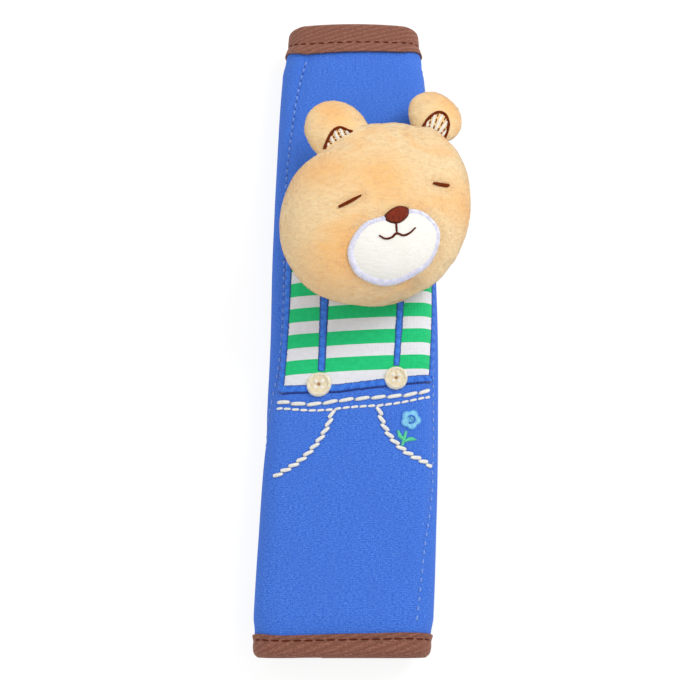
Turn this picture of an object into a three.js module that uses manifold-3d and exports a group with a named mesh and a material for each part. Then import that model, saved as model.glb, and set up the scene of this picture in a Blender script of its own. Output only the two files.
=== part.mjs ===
// Seat belt shoulder pad: a padded jersey sleeve that closes round the belt with hook and loop
// tape, bound in brown tape at both ends, with a soft plush bear head sewn on its front and
// embroidered dungarees below the head. Millimetres, +Z up. The sleeve lies on its back:
// X is its width, Y its length with the head end at +Y, and Z rises to the face.

import * as THREE from 'three';
import { mergeVertices } from 'three/addons/utils/BufferGeometryUtils.js';
import Module from 'manifold-3d';

const wasm = await Module();
wasm.setup();

// Sleeve: outer form
const LENGTH = 278;
const BOTTOM_END = -140;
const HALF_WIDTH = 35.5;
const SIDE_RADIUS = 10.5;
const CROWN = 1.5;
const TOP_NARROWING = 4.4;
const TOP_TAPER_START = 16;
const BOTTOM_NARROWING = 0.8;
const BOTTOM_TAPER_START = -100;
const LEAN_SLOPE = 0.0475;
const LEAN_START = 10;
const LEAN_EASE = 60;

// Sleeve: layers of its wall, from outside to inside
const COVER = 0.8;
const FOAM = 2.2;
const LINING = 0.6;
const LAYER_GAP = 0.15;
const HEM = 7;

// Sleeve: the two flaps on its back and the fastener between them
const OUTER_FLAP_EDGE = -8;
const INNER_FLAP_EDGE = 14;
const INNER_BEND = 6;
const FASTENER = 1;
const FASTENER_MARGIN = 1.5;
const FASTENER_END_MARGIN = 4;

// Bindings at the two ends
const BINDING = 0.8;
const TOP_BINDING_WIDTH = 16.2;
const BOTTOM_BINDING_WIDTH = 8.3;
const BINDING_BACK_WIDTH = 8;
const BINDING_STITCH_HALF_SPAN = 27;
const TOP_STITCH_INSET = 4.4;
const BOTTOM_STITCH_INSET = 2.1;

// Sewn-on cloth and embroidery
const SEAT_GAP = 0.15;
const PANEL_CLOTH = 0.6;
const STRIPE_INK = 0.2;
const SATIN = 1.1;
const SUSPENDER = 0.5;
const BUTTON = 0.9;
const THREAD = 0.7;

// Striped shirt panel, its corners at the middle of its satin border
const PANEL_BOTTOM_LEFT = [-30.0, -34.9];
const PANEL_BOTTOM_MIDDLE = [-6.8, -34.8];
const PANEL_BOTTOM_RIGHT = [31.0, -29.7];
const PANEL_TOP_LEFT = [-27.2, 28];
const PANEL_TOP_RIGHT = [34.2, 32];
const BORDER_WIDTH = 2.5;
const STRIPE_COUNT = 5;
const STRIPE_WIDTH = 6.0;
const STRIPE_PITCH = 11.3;
const FIRST_STRIPE = -25.3;
const STRIPE_SLOPE = 0.052;

// Suspenders and their buttons
const LEFT_SUSPENDER = [[-12.4, 10], [-12.9, 0], [-13.9, -28.2]];
const RIGHT_SUSPENDER = [[19.2, 10], [18.7, 0], [16.7, -25.8]];
const LEFT_SUSPENDER_WIDTH = 3.7;
const RIGHT_SUSPENDER_WIDTH = 3.1;
const LEFT_BUTTON = [-14.8, -34.0];
const LEFT_BUTTON_RADIUS = 5.1;
const RIGHT_BUTTON = [16.5, -31.2];
const RIGHT_BUTTON_RADIUS = 4.8;
const BUTTON_CENTRE_RADIUS = 1.1;

// Waistband, pockets and flower
const WAIST_UPPER = [
  [-32.4, -40.3], [-18, -42.2], [-6.5, -40.6], [7.6, -39.3], [22.3, -37.9], [31.2, -35.2],
];
const WAIST_LOWER = [[-32.4, -43.2], [-16, -44.7], [-2.5, -43.5], [15.1, -41.9], [31.2, -38.0]];
const LEFT_POCKET = [[-9.0, -46.2], [-10.6, -49.6], [-14.3, -56.5], [-21.9, -65], [-32.6, -71.6]];
const RIGHT_POCKET = [[9.4, -44.6], [10.5, -48.8], [13.3, -54.6], [20.4, -61.9], [31.0, -67.2]];
const UPPER_STITCH = { pitch: 6.6, length: 5.4, width: 1.3 };
const LOWER_STITCH = { pitch: 3.4, length: 2.4, width: 0.9 };
const POCKET_STITCH = { pitch: 4.0, length: 3.6, width: 1.5 };
const BINDING_STITCH = { pitch: 4.3, length: 2.9, width: 0.9 };
const LINK_WIDTH = 0.35;
const LINK_THREAD = 0.15;
const FLOWER = [22.3, -48.8];
const FLOWER_RADIUS = 3.9;
const FLOWER_CENTRE_RADIUS = 1.3;
const PETALS = 5;
const PETAL_DEPTH = 0.45;
const STEM = [[20.8, -53.6], [19.8, -56.2], [18.8, -59.2]];
const STEM_WIDTH = 0.9;
const LEFT_LEAF = [[16.9, -52.9], [17.4, -54.8], [18.5, -56.0], [18.9, -55.2], [18.3, -53.6]];
const RIGHT_LEAF = [[20.9, -57.4], [21.6, -55.8], [23.9, -55.9], [23.4, -57.1], [22.0, -57.8]];

// Head: outline of its seam, depths in front of and behind it, and how it sits on the sleeve
const HEAD_OUTLINE = [
  [-33.8, 15.9], [-41, -3], [-40.5, -20], [-31, -34.5], [-12, -41.2], [8, -39], [27, -27.6], [40, -8],
  [43.8, 10], [41.5, 23], [35, 32.5], [26, 38.5], [13, 42.2], [2, 41], [-8, 35], [-17, 29.5], [-26, 24.5],
];
const HEAD_FRONT_DEPTH = 22;
const HEAD_BACK_DEPTH = 16;
const HEAD_PLACE = [7.8, 36, 38];
const HEAD_TURN = 15;
const HEAD_ROLL = 9;
const PLUSH = 1.5;
const SEAM_GAP = 0.3;
const DOME_FULLNESS = 0.9;

// Ears, placed in the head's own plane
const LEFT_EAR = { x: -9.6, y: 36.6, radius: 15.8 };
const RIGHT_EAR = { x: 36.2, y: 44.3, radius: 12.9 };
const EAR_DEPTH = 5.5;
const EAR_FORWARD = 1;
const EAR_PLUSH = 1.2;
const LEFT_ARCH = [[-9.2, -7.4], [-6.8, -2.6], [-4.1, 0.9], [-1.3, 2.3], [1.8, 1.6], [5.2, -1.0]];
const RIGHT_ARCH = [
  [-7.6, -4.6], [-5.2, -1.6], [-2.1, 0.4], [0.3, 0.9], [2.8, -0.4], [3.6, -4.4], [1.6, -9.8],
];
const ARCH_WIDTH = 1.2;
const LEFT_LATTICE = [
  [-7.0, -5.2], [-5.6, -3.0], [-3.2, 0.0], [-0.9, 1.0], [1.6, 0.2], [3.4, -1.6], [-1.6, -4.2],
];
const RIGHT_LATTICE = [
  [-6.4, -5.6], [-4.4, -2.6], [-1.6, -0.8], [0.6, -0.6], [2.0, -2.4], [2.0, -5.0], [0.2, -8.8],
];

// Face embroidery, in the head's own plane
const MUZZLE_CENTRE = [-0.5, -23.5];
const MUZZLE_OUTLINE = [
  [-20.3, -24.7], [-14.0, -15.1], [-5.4, -12.2], [7.9, -9.4], [14.5, -11.2], [19.9, -18.1],
  [14.9, -29.3], [2.1, -36.4], [-5.4, -37.6], [-12.6, -35.5], [-18.1, -32.2],
];
const MUZZLE_BORDER_WIDTH = 2.6;
const MUZZLE_PUFF = 3.5;
const MUZZLE_CLOTH = 0.9;
const NOSE_CENTRE = [-0.2, -13.6];
const NOSE_OUTLINE = [
  [-5.6, -13.6], [0.5, -10.0], [5.2, -11.0], [4.2, -13.9], [-1.0, -17.2], [-4.9, -15.8],
];
const MOUTH_LINE = [
  [-8.5, -21.1], [-6.1, -22.5], [-3.5, -22.1], [-1.5, -20.8], [1.2, -21.6], [3.7, -20.8], [6.6, -18.7],
];
const MOUTH_STEM = [[-1.2, -17.9], [-1.5, -19.7]];
const MOUTH_WIDTH = 1.1;
const LEFT_EYE = [[-22.2, -6.9], [-17.7, -5.2], [-13.0, -3.2]];
const RIGHT_EYE = [[18.4, 2.2], [22.7, 2.1], [26.2, 2.2]];
const EYE_WIDTH = 1.5;

// Facets
const TAPE_STEPS = 6;
const MOTIF_FROM = -80;
const MOTIF_TO = 32;
const MOTIF_STEPS = 6;
const PLAIN_STEPS = 2;
const SECTION_STEPS = [2, 3, 8, 3, 3, 6, 2];
const CLOTH_STEP = 2.6;
const LENGTHWAYS_STEP = 8;
const PANEL_ROWS = 5;
const HEAD_SIDES = 26;
const EAR_SIDES = 18;
const MUZZLE_SIDES = 30;
const NOSE_SIDES = 18;
const BUTTON_SIDES = 18;
const LEAF_SIDES = 12;
const DISC_SIDES = 10;
const PETAL_STEPS = 6;
const OUTLINE_STEPS = 12;
const HEAD_FRONT_RINGS = 7;
const HEAD_BACK_RINGS = 5;
const EAR_RINGS = 3;
const MUZZLE_RINGS = [0.25, 0.5, 0.75, 0.9, 1];
const SMALL_RINGS = [0.55, 1];
const SLOPE_STEP = 0.5;
const WELD = 1e-4;

// Forms of the embroidery, as shares of its full width, reach or height
const SATIN_EDGE = 0.55;
const SUSPENDER_FLARE = [1.12, 0.88];
const BUTTON_RINGS = [0.6, 0.88, 1];
const BUTTON_HEIGHTS = [0.72, 0.78, 1, 0.6];
const PETAL_EDGE = 0.6;
const LEAF_EDGE = 0.5;
const NOSE_EDGE = 0.5;
const EYE_END = 0.45;
const LATTICE_HEIGHT = 0.5;
const MUZZLE_BORDER_HEIGHTS = [0.7, 1, 0.5];
const LINK_EASE = 0.75;

// Sizes that follow from the ones above
const TOP_END = BOTTOM_END + LENGTH;
const WALL = COVER + FOAM + LINING + 2 * LAYER_GAP;
const BASE = BINDING + LAYER_GAP;
const THICKNESS = 2 * SIDE_RADIUS + CROWN;
const FLAP_RISE = WALL + 2 * FASTENER + 3 * LAYER_GAP;
const PANEL_TOP = SEAT_GAP + PANEL_CLOTH;
const STRIPE_TOP = PANEL_TOP + SEAT_GAP + STRIPE_INK;
const BORDER_TOP = SEAT_GAP + SATIN;
const SUSPENDER_TOP = STRIPE_TOP + SEAT_GAP + SUSPENDER;
const BUTTON_LOW = Math.max(BORDER_TOP, SUSPENDER_TOP) + SEAT_GAP;
const HEAD_SEAT = Math.max(SUSPENDER_TOP, BORDER_TOP) + SEAM_GAP;

const clamp01 = (value) => Math.min(1, Math.max(0, value));
const lerp = (a, b, t) => a + (b - a) * t;
const rise = (share) => Math.sqrt(Math.max(0, share));

// The sleeve's half width and the place of its middle at a point of its length.
function halfWidth(v) {
  const up = clamp01((v - TOP_TAPER_START) / (TOP_END - TOP_TAPER_START));
  const down = clamp01((BOTTOM_TAPER_START - v) / (BOTTOM_TAPER_START - BOTTOM_END));
  return HALF_WIDTH - TOP_NARROWING * up * up - BOTTOM_NARROWING * down * down;
}

function middle(v) {
  const down = Math.max(0, LEAN_START - v);
  const eased = down < LEAN_EASE ? down ** 2 / (2 * LEAN_EASE) : down - LEAN_EASE / 2;
  return -LEAN_SLOPE * eased;
}

// The cross-section: a low crown, a round side each way, then the outer flap straight along the
// floor on the right, and on the left the inner flap, which bends up to lie on the outer one.
function section(v) {
  const flat = halfWidth(v) - SIDE_RADIUS;
  const crownAngle = 2 * Math.atan(CROWN / flat);
  const crownRadius = SIDE_RADIUS + flat / Math.sin(crownAngle);
  const curl = Math.acos(1 - FLAP_RISE / (SIDE_RADIUS + INNER_BEND));
  const crownEnd = crownRadius * crownAngle;
  const sideEnd = crownEnd + SIDE_RADIUS * (Math.PI - crownAngle);
  const curlEnd = sideEnd + SIDE_RADIUS * curl;
  const bendEnd = curlEnd + INNER_BEND * curl;
  const bendX = -flat + (SIDE_RADIUS + INNER_BEND) * Math.sin(curl);
  const outerEdge = sideEnd + flat - OUTER_FLAP_EDGE;
  const innerEdge = bendEnd + INNER_FLAP_EDGE - bendX;
  return {
    flat, crownAngle, crownRadius, curl,
    crownEnd, sideEnd, curlEnd, bendEnd, bendX, outerEdge, innerEdge,
  };
}

// A point of the sleeve: sigma runs round the section from the middle of its front, positive to
// the right, v runs along the length, and h is the height above the outside of the cover.
function padPoint(sigma, v, h) {
  const s = section(v);
  const side = sigma < 0 ? -1 : 1;
  const run = Math.abs(sigma);
  let x;
  let z;
  if (run <= s.crownEnd) {
    const angle = run / s.crownRadius;
    x = (s.crownRadius + h) * Math.sin(angle);
    z = BASE + THICKNESS - s.crownRadius + (s.crownRadius + h) * Math.cos(angle);
  } else if (run <= (side > 0 ? s.sideEnd : s.curlEnd)) {
    const angle = s.crownAngle + (run - s.crownEnd) / SIDE_RADIUS;
    x = s.flat + (SIDE_RADIUS + h) * Math.sin(angle);
    z = BASE + SIDE_RADIUS + (SIDE_RADIUS + h) * Math.cos(angle);
  } else if (side > 0) {
    x = s.flat - (run - s.sideEnd);
    z = BASE - h;
  } else if (run <= s.bendEnd) {
    const angle = Math.PI + s.curl - (run - s.curlEnd) / INNER_BEND;
    const reach = SIDE_RADIUS + INNER_BEND;
    x = s.flat - reach * Math.sin(s.curl) - (INNER_BEND - h) * Math.sin(angle);
    z = BASE + SIDE_RADIUS - reach * Math.cos(s.curl) - (INNER_BEND - h) * Math.cos(angle);
  } else {
    x = -s.bendX - (run - s.bendEnd);
    z = BASE + FLAP_RISE - h;
  }
  return new THREE.Vector3(middle(v) + side * x, v, z);
}

// Where an x on the front of the sleeve lies round its section.
function sigmaAt(x, v) {
  const s = section(v);
  const across = Math.abs(x - middle(v));
  const side = x < middle(v) ? -1 : 1;
  if (across <= s.crownRadius * Math.sin(s.crownAngle)) {
    return side * s.crownRadius * Math.asin(across / s.crownRadius);
  }
  const angle = Math.asin(clamp01((across - s.flat) / SIDE_RADIUS));
  return side * (s.crownEnd + SIDE_RADIUS * (angle - s.crownAngle));
}

// Points measured as x and v on the front, laid out flat as sigma and v.
const laidFlat = (points) => points.map(([x, v]) => [sigmaAt(x, v), v]);

// The height of the sleeve's front above the floor, falling away beyond its sides.
function frontHeight(x, v) {
  const s = section(v);
  const across = Math.abs(x - middle(v));
  if (across <= s.crownRadius * Math.sin(s.crownAngle)) {
    return BASE + THICKNESS - s.crownRadius + rise(s.crownRadius ** 2 - across ** 2);
  }
  return BASE + SIDE_RADIUS + rise(SIDE_RADIUS ** 2 - (across - s.flat) ** 2);
}

// The stations round the section, the same number at every v, with the free edges drawn in.
function sectionStations(v, inset = 0) {
  const s = section(v);
  const breaks = [
    -s.innerEdge + inset, -s.bendEnd, -s.curlEnd, -s.crownEnd,
    0, s.crownEnd, s.sideEnd, s.outerEdge - inset,
  ];
  const stations = [breaks[0]];
  SECTION_STEPS.forEach((steps, part) => {
    for (let i = 1; i <= steps; i++) stations.push(lerp(breaks[part], breaks[part + 1], i / steps));
  });
  return stations;
}

function spread(from, to, steps) {
  return Array.from({ length: steps + 1 }, (_, i) => lerp(from, to, i / steps));
}

// Turns a list of vertices and faces into a geometry whose faces point out.
function solid(vertices, faces) {
  let volume = 0;
  for (const [a, b, c] of faces) {
    volume += vertices[a].dot(new THREE.Vector3().crossVectors(vertices[b], vertices[c]));
  }
  const geometry = new THREE.BufferGeometry().setFromPoints(vertices);
  geometry.setIndex(faces.flatMap(([a, b, c]) => (volume > 0 ? [a, b, c] : [a, c, b])));
  return geometry;
}

// A sheet of any thickness, as rows of paired points on its two faces, closed at its edges.
function sheetSolid(rows, ring = false) {
  const width = rows[0].outer.length;
  const vertices = rows.flatMap((row) => [...row.outer, ...row.inner]);
  const outer = (row, i) => (row % rows.length) * 2 * width + i;
  const inner = (row, i) => outer(row, i) + width;
  const faces = [];
  const quad = (a, b, c, d) => faces.push([a, b, c], [a, c, d]);
  const last = ring ? rows.length : rows.length - 1;
  for (let r = 0; r < last; r++) {
    for (let i = 0; i < width - 1; i++) {
      quad(outer(r, i), outer(r, i + 1), outer(r + 1, i + 1), outer(r + 1, i));
      quad(inner(r + 1, i), inner(r + 1, i + 1), inner(r, i + 1), inner(r, i));
    }
    quad(outer(r + 1, 0), inner(r + 1, 0), inner(r, 0), outer(r, 0));
    quad(outer(r, width - 1), inner(r, width - 1), inner(r + 1, width - 1), outer(r + 1, width - 1));
  }
  if (!ring) {
    for (let i = 0; i < width - 1; i++) {
      quad(outer(0, i + 1), outer(0, i), inner(0, i), inner(0, i + 1));
      quad(outer(last, i), outer(last, i + 1), inner(last, i + 1), inner(last, i));
    }
  }
  return solid(vertices, faces);
}

// A closed body from one pole through rings of equal count to the other pole.
function poleSolid(start, rings, end) {
  const sides = rings[0].length;
  const vertices = [start, ...rings.flat(), end];
  const at = (ring, i) => 1 + ring * sides + (i % sides);
  const faces = [];
  for (let i = 0; i < sides; i++) {
    faces.push([0, at(0, i), at(0, i + 1)]);
    for (let r = 0; r < rings.length - 1; r++) {
      faces.push([at(r, i), at(r + 1, i), at(r + 1, i + 1)], [at(r, i), at(r + 1, i + 1), at(r, i + 1)]);
    }
    faces.push([vertices.length - 1, at(rings.length - 1, i + 1), at(rings.length - 1, i)]);
  }
  return solid(vertices, faces);
}

// A closed outline through a few points, given by its reach from a centre in every direction.
function outlineOf(points, centre = [0, 0]) {
  const curve = new THREE.CatmullRomCurve3(points.map(([x, y]) => new THREE.Vector3(x, y, 0)), true);
  const fine = curve.getSpacedPoints(points.length * OUTLINE_STEPS).slice(1);
  const toPolar = (x, y) => {
    const [dx, dy] = [x - centre[0], y - centre[1]];
    return [Math.atan2(dy, dx), Math.hypot(dx, dy)];
  };
  const polar = fine.map((p) => toPolar(p.x, p.y));
  polar.sort((a, b) => a[0] - b[0]);
  const first = polar[0];
  const last = polar[polar.length - 1];
  polar.unshift([last[0] - 2 * Math.PI, last[1]]);
  polar.push([first[0] + 2 * Math.PI, first[1]]);
  const reach = (angle) => {
    const turned = Math.atan2(Math.sin(angle), Math.cos(angle));
    const next = polar.findIndex((p) => p[0] >= turned);
    const [a, b] = [polar[Math.max(0, next - 1)], polar[next]];
    return lerp(a[1], b[1], b[0] > a[0] ? (turned - a[0]) / (b[0] - a[0]) : 0);
  };
  const share = (x, y) => {
    const [angle, radius] = toPolar(x, y);
    return radius / reach(angle);
  };
  return { centre, reach, share };
}

// A crowned patch inside an outline. low and high give its two heights above the surface, from
// the place and from the share of the way out to the rim.
function patch(outline, surface, low, high, { sides, shares, inset = 0 }) {
  const [cx, cy] = outline.centre;
  const ring = (share, height) => spread(0, 2 * Math.PI, sides).slice(1).map((angle) => {
    const reach = (outline.reach(angle) - inset) * share;
    const [x, y] = [cx + reach * Math.cos(angle), cy + reach * Math.sin(angle)];
    return surface(x, y, height(x, y, share));
  });
  const rings = [
    ...shares.map((share) => ring(share, low)),
    ...[...shares].reverse().map((share) => ring(share, high)),
  ];
  return poleSolid(surface(cx, cy, low(cx, cy, 0)), rings, surface(cx, cy, high(cx, cy, 0)));
}

// Points along a smooth open path, each with the unit step across the path.
function along(points, marks) {
  const curve = new THREE.CatmullRomCurve3(points.map(([x, y]) => new THREE.Vector3(x, y, 0)));
  const length = curve.getLength();
  return marks(length).map((mark) => {
    const at = clamp01(mark.distance / length);
    const place = curve.getPointAt(at);
    const way = curve.getTangentAt(at);
    return { ...mark, share: at, x: place.x, y: place.y, acrossX: -way.y, acrossY: way.x };
  });
}

// A flat or crowned band along a path, from rows that give its width and two heights.
function band(rows, surface, low, high, across = [-0.5, 0, 0.5]) {
  return sheetSolid(rows.map((row) => {
    const side = (t, height) => {
      const [x, y] = [row.x + row.acrossX * row.width * t, row.y + row.acrossY * row.width * t];
      return surface(x, y, height(x, y, row, t));
    };
    return { outer: across.map((t) => side(t, high)), inner: across.map((t) => side(t, low)) };
  }));
}

// A satin band: its edges are lower than its middle.
function satinBand(points, width, surface, low, high) {
  const steps = (length) => {
    return spread(0, length, Math.ceil(length / CLOTH_STEP)).map((distance) => ({ distance }));
  };
  const rows = along(points, steps).map((row) => ({ ...row, width: width(row.share) }));
  return band(rows, surface, low, (x, y, row, t) => {
    const [bottom, top] = [low(x, y, row, t), high(x, y, row, t)];
    return t === 0 ? top : lerp(bottom, top, SATIN_EDGE);
  });
}

// The usual heights of embroidery: straight on the cloth, one thread thick.
const onCloth = () => SEAT_GAP;
const threadTop = () => SEAT_GAP + THREAD;

// A row of stitches: beads of thread joined by the thread that runs between them.
function stitchRow(points, stitch, surface, low) {
  const rows = along(points, (length) => {
    const count = Math.max(1, Math.floor(length / stitch.pitch));
    const pitch = length / count;
    const link = (pitch * (stitch.pitch - stitch.length)) / stitch.pitch;
    const ease = link * LINK_EASE;
    const marks = [];
    for (let i = 0; i < count; i++) {
      const start = i * pitch;
      marks.push({ distance: start, thick: false });
      marks.push({ distance: start + ease, thick: true });
      marks.push({ distance: start + pitch - ease, thick: true });
    }
    marks.push({ distance: length, thick: false });
    return marks;
  }).map((row) => ({ ...row, width: row.thick ? stitch.width : LINK_WIDTH }));
  const top = (x, y, row) => low + (row.thick ? THREAD : LINK_THREAD);
  return band(rows, surface, () => low, top, [-0.5, 0.5]);
}

// Wall layers of the sleeve
const layerLow = BOTTOM_END + BINDING + LAYER_GAP;
const layerHigh = TOP_END - BINDING - LAYER_GAP;
// The stations are closer where cloth and thread lie on the cover.
const lengthStations = [
  ...spread(layerLow, MOTIF_FROM, PLAIN_STEPS),
  ...spread(MOTIF_FROM, MOTIF_TO, MOTIF_STEPS).slice(1),
  ...spread(MOTIF_TO, layerHigh, PLAIN_STEPS).slice(1),
];

function outerCover() {
  const hemFace = -(WALL - LINING);
  return sheetSolid(lengthStations.map((v) => {
    const edge = sectionStations(v);
    const drawn = sectionStations(v, COVER);
    const hemmed = sectionStations(v, HEM);
    const end = edge.length - 1;
    return {
      outer: [
        padPoint(hemmed[0], v, -WALL), padPoint(edge[0], v, -WALL),
        ...edge.map((sigma) => padPoint(sigma, v, 0)),
        padPoint(edge[end], v, -WALL), padPoint(hemmed[end], v, -WALL),
      ],
      inner: [
        padPoint(hemmed[0], v, hemFace), padPoint(drawn[0], v, hemFace),
        ...drawn.map((sigma) => padPoint(sigma, v, -COVER)),
        padPoint(drawn[end], v, hemFace), padPoint(hemmed[end], v, hemFace),
      ],
    };
  }));
}

function wallLayer(outside, thickness, inset) {
  return sheetSolid(lengthStations.map((v) => {
    const stations = sectionStations(v, inset);
    return {
      outer: stations.map((sigma) => padPoint(sigma, v, -outside)),
      inner: stations.map((sigma) => padPoint(sigma, v, -outside - thickness)),
    };
  }));
}

// A tape folded over the end of the wall, swept round the whole section.
function endBinding(end, inward, width) {
  const outside = LAYER_GAP + BINDING;
  const inside = LAYER_GAP;
  const fold = [
    { outer: [width, outside], inner: [width, inside] },
    { outer: [BINDING, outside], inner: [BINDING + LAYER_GAP, inside] },
    { outer: [0, inside], inner: [BINDING, inside] },
    { outer: [0, -WALL - inside], inner: [BINDING, -WALL - inside] },
    { outer: [BINDING, -WALL - outside], inner: [BINDING + LAYER_GAP, -WALL - inside] },
    { outer: [BINDING_BACK_WIDTH, -WALL - outside], inner: [BINDING_BACK_WIDTH, -WALL - inside] },
  ];
  const count = sectionStations(end).length;
  const place = (k, [distance, h]) => {
    const v = end + inward * distance;
    return padPoint(sectionStations(v)[k], v, h);
  };
  return sheetSolid(Array.from({ length: count }, (_, k) => ({
    outer: fold.map((corner) => place(k, corner.outer)),
    inner: fold.map((corner) => place(k, corner.inner)),
  })));
}

// One half of the fastener: a flat tape along the sleeve, given the flap's own edge and height.
function fastenerTape(sigmaOf, low) {
  const left = OUTER_FLAP_EDGE + FASTENER_MARGIN;
  const right = INNER_FLAP_EDGE - FASTENER_MARGIN;
  const from = BOTTOM_END + BINDING_BACK_WIDTH + FASTENER_END_MARGIN;
  const to = TOP_END - TOP_BINDING_WIDTH - FASTENER_END_MARGIN;
  return sheetSolid(spread(from, to, TAPE_STEPS).map((v) => ({
    outer: [left, right].map((x) => padPoint(sigmaOf(x, v), v, low + FASTENER)),
    inner: [left, right].map((x) => padPoint(sigmaOf(x, v), v, low)),
  })));
}

const onOuterFlap = (x, v) => section(v).outerEdge - (x - OUTER_FLAP_EDGE);
const onInnerFlap = (x, v) => -section(v).innerEdge + (INNER_FLAP_EDGE - x);

// Shirt panel: its outline laid flat, and the same outline drawn in from the border's middle
const panelLine = laidFlat([
  PANEL_TOP_LEFT, PANEL_BOTTOM_LEFT, PANEL_BOTTOM_MIDDLE, PANEL_BOTTOM_RIGHT, PANEL_TOP_RIGHT,
]);

function drawnIn(line, distance) {
  const inwards = line.slice(1).map(([x, y], i) => {
    const [dx, dy] = [x - line[i][0], y - line[i][1]];
    const length = Math.hypot(dx, dy);
    return [-dy / length, dx / length];
  });
  return line.map(([x, y], i) => {
    const a = inwards[Math.max(0, i - 1)];
    const b = inwards[Math.min(inwards.length - 1, i)];
    const scale = distance / (1 + a[0] * b[0] + a[1] * b[1]);
    return [x + (a[0] + b[0]) * scale, y + (a[1] + b[1]) * scale];
  });
}

const panelCloth = drawnIn(panelLine, BORDER_WIDTH / 2 + SEAT_GAP);

// Where a line through two points has a given first or second coordinate.
const yAt = (a, b, x) => lerp(a[1], b[1], (x - a[0]) / (b[0] - a[0]));
const xAt = (a, b, y) => lerp(a[0], b[0], (y - a[1]) / (b[1] - a[1]));

// A piece of the panel's cloth between two lines across it, each a v for every sigma.
function panelPiece(lowLine, highLine, low, thickness, rowCount) {
  const [topLeft, bottomLeft, , bottomRight, topRight] = panelCloth;
  const columns = Math.ceil((topRight[0] - topLeft[0]) / CLOTH_STEP);
  return sheetSolid(spread(0, 1, rowCount).map((up) => {
    const points = spread(0, 1, columns).map((t) => {
      const guess = lerp(bottomLeft[0], bottomRight[0], t);
      const about = lerp(lowLine(guess), highLine(guess), up);
      const sigma = lerp(xAt(bottomLeft, topLeft, about), xAt(bottomRight, topRight, about), t);
      return [sigma, lerp(lowLine(sigma), highLine(sigma), up)];
    });
    return {
      outer: points.map(([sigma, v]) => padPoint(sigma, v, low + thickness)),
      inner: points.map(([sigma, v]) => padPoint(sigma, v, low)),
    };
  }));
}

function stripedPanel() {
  const [topLeft, bottomLeft, bottomMiddle, bottomRight, topRight] = panelCloth;
  const bottom = (sigma) => (sigma < bottomMiddle[0]
    ? yAt(bottomLeft, bottomMiddle, sigma)
    : yAt(bottomMiddle, bottomRight, sigma));
  return panelPiece(bottom, (sigma) => yAt(topLeft, topRight, sigma), SEAT_GAP, PANEL_CLOTH, PANEL_ROWS);
}

function greenStripe(index) {
  const middleLine = (sigma) => FIRST_STRIPE + index * STRIPE_PITCH + STRIPE_SLOPE * sigma;
  return panelPiece(
    (sigma) => middleLine(sigma) - STRIPE_WIDTH / 2,
    (sigma) => middleLine(sigma) + STRIPE_WIDTH / 2,
    PANEL_TOP + SEAT_GAP, STRIPE_INK, 1,
  );
}

// The satin border runs down the left side, along the bottom and up the right side, mitred at
// its corners.
function panelBorder() {
  const lines = [-0.5, 0, 0.5].map((t) => drawnIn(panelLine, BORDER_WIDTH * t));
  const heights = [SATIN / 2, SATIN, SATIN / 2];
  const rows = [];
  for (let leg = 0; leg < panelLine.length - 1; leg++) {
    const [from, to] = [lines[1][leg], lines[1][leg + 1]];
    const across = Math.abs(to[0] - from[0]) / CLOTH_STEP;
    const lengthways = Math.abs(to[1] - from[1]) / LENGTHWAYS_STEP;
    const steps = Math.ceil(Math.max(across, lengthways));
    for (let i = leg === 0 ? 0 : 1; i <= steps; i++) {
      const places = lines.map((line) => {
        return [0, 1].map((axis) => lerp(line[leg][axis], line[leg + 1][axis], i / steps));
      });
      rows.push({
        outer: places.map(([sigma, v], side) => padPoint(sigma, v, SEAT_GAP + heights[side])),
        inner: places.map(([sigma, v]) => padPoint(sigma, v, SEAT_GAP)),
      });
    }
  }
  return sheetSolid(rows);
}

function suspender(points, width) {
  const low = STRIPE_TOP + SEAT_GAP;
  const widthAt = (share) => width * lerp(...SUSPENDER_FLARE, share);
  return satinBand(laidFlat(points), widthAt, padPoint, () => low, () => SUSPENDER_TOP);
}

// A low ring on the cloth round a place, from the reaches and heights of its rings of points.
function ringOn(place, sides, reachesAt, heights, low) {
  const [[x, v]] = laidFlat([place]);
  const rows = spread(0, 2 * Math.PI, sides).slice(1).map((angle) => {
    const put = (reach, h) => padPoint(x + reach * Math.cos(angle), v + reach * Math.sin(angle), h);
    const reaches = reachesAt(angle);
    return {
      outer: reaches.map((reach, i) => put(reach, low + heights[i])),
      inner: reaches.map((reach) => put(reach, low)),
    };
  });
  return sheetSolid(rows, true);
}

// An embroidered button: a padded disc with a raised rim round a low middle.
function button(place, radius) {
  const hollow = BUTTON_CENTRE_RADIUS + SEAT_GAP;
  const reaches = [hollow, ...BUTTON_RINGS.map((share) => radius * share)];
  const heights = BUTTON_HEIGHTS.map((share) => BUTTON * share);
  return ringOn(place, BUTTON_SIDES, () => reaches, heights, BUTTON_LOW);
}

function disc(place, radius, low, thickness) {
  const [centre] = laidFlat([place]);
  const round = { centre, reach: () => radius };
  return patch(round, padPoint, () => low, () => low + thickness, { sides: DISC_SIDES, shares: [1] });
}

// The flower's petals: a lobed ring round its centre.
function blossom() {
  const hole = FLOWER_CENTRE_RADIUS + SEAT_GAP;
  const reachesAt = (angle) => {
    const rim = FLOWER_RADIUS + PETAL_DEPTH * Math.cos(PETALS * angle);
    return [hole, (hole + rim) / 2, rim];
  };
  const heights = [PETAL_EDGE, 1, PETAL_EDGE].map((share) => THREAD * share);
  return ringOn(FLOWER, PETALS * PETAL_STEPS, reachesAt, heights, SEAT_GAP);
}

const mean = (values) => values.reduce((sum, value) => sum + value, 0) / values.length;
const centroid = (points) => [mean(points.map(([x]) => x)), mean(points.map(([, y]) => y))];

function leaf(points) {
  const flat = laidFlat(points);
  const outline = outlineOf(flat, centroid(flat));
  const top = (x, y, share) => SEAT_GAP + THREAD * lerp(1, LEAF_EDGE, share);
  return patch(outline, padPoint, () => SEAT_GAP, top, { sides: LEAF_SIDES, shares: [1] });
}

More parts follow.
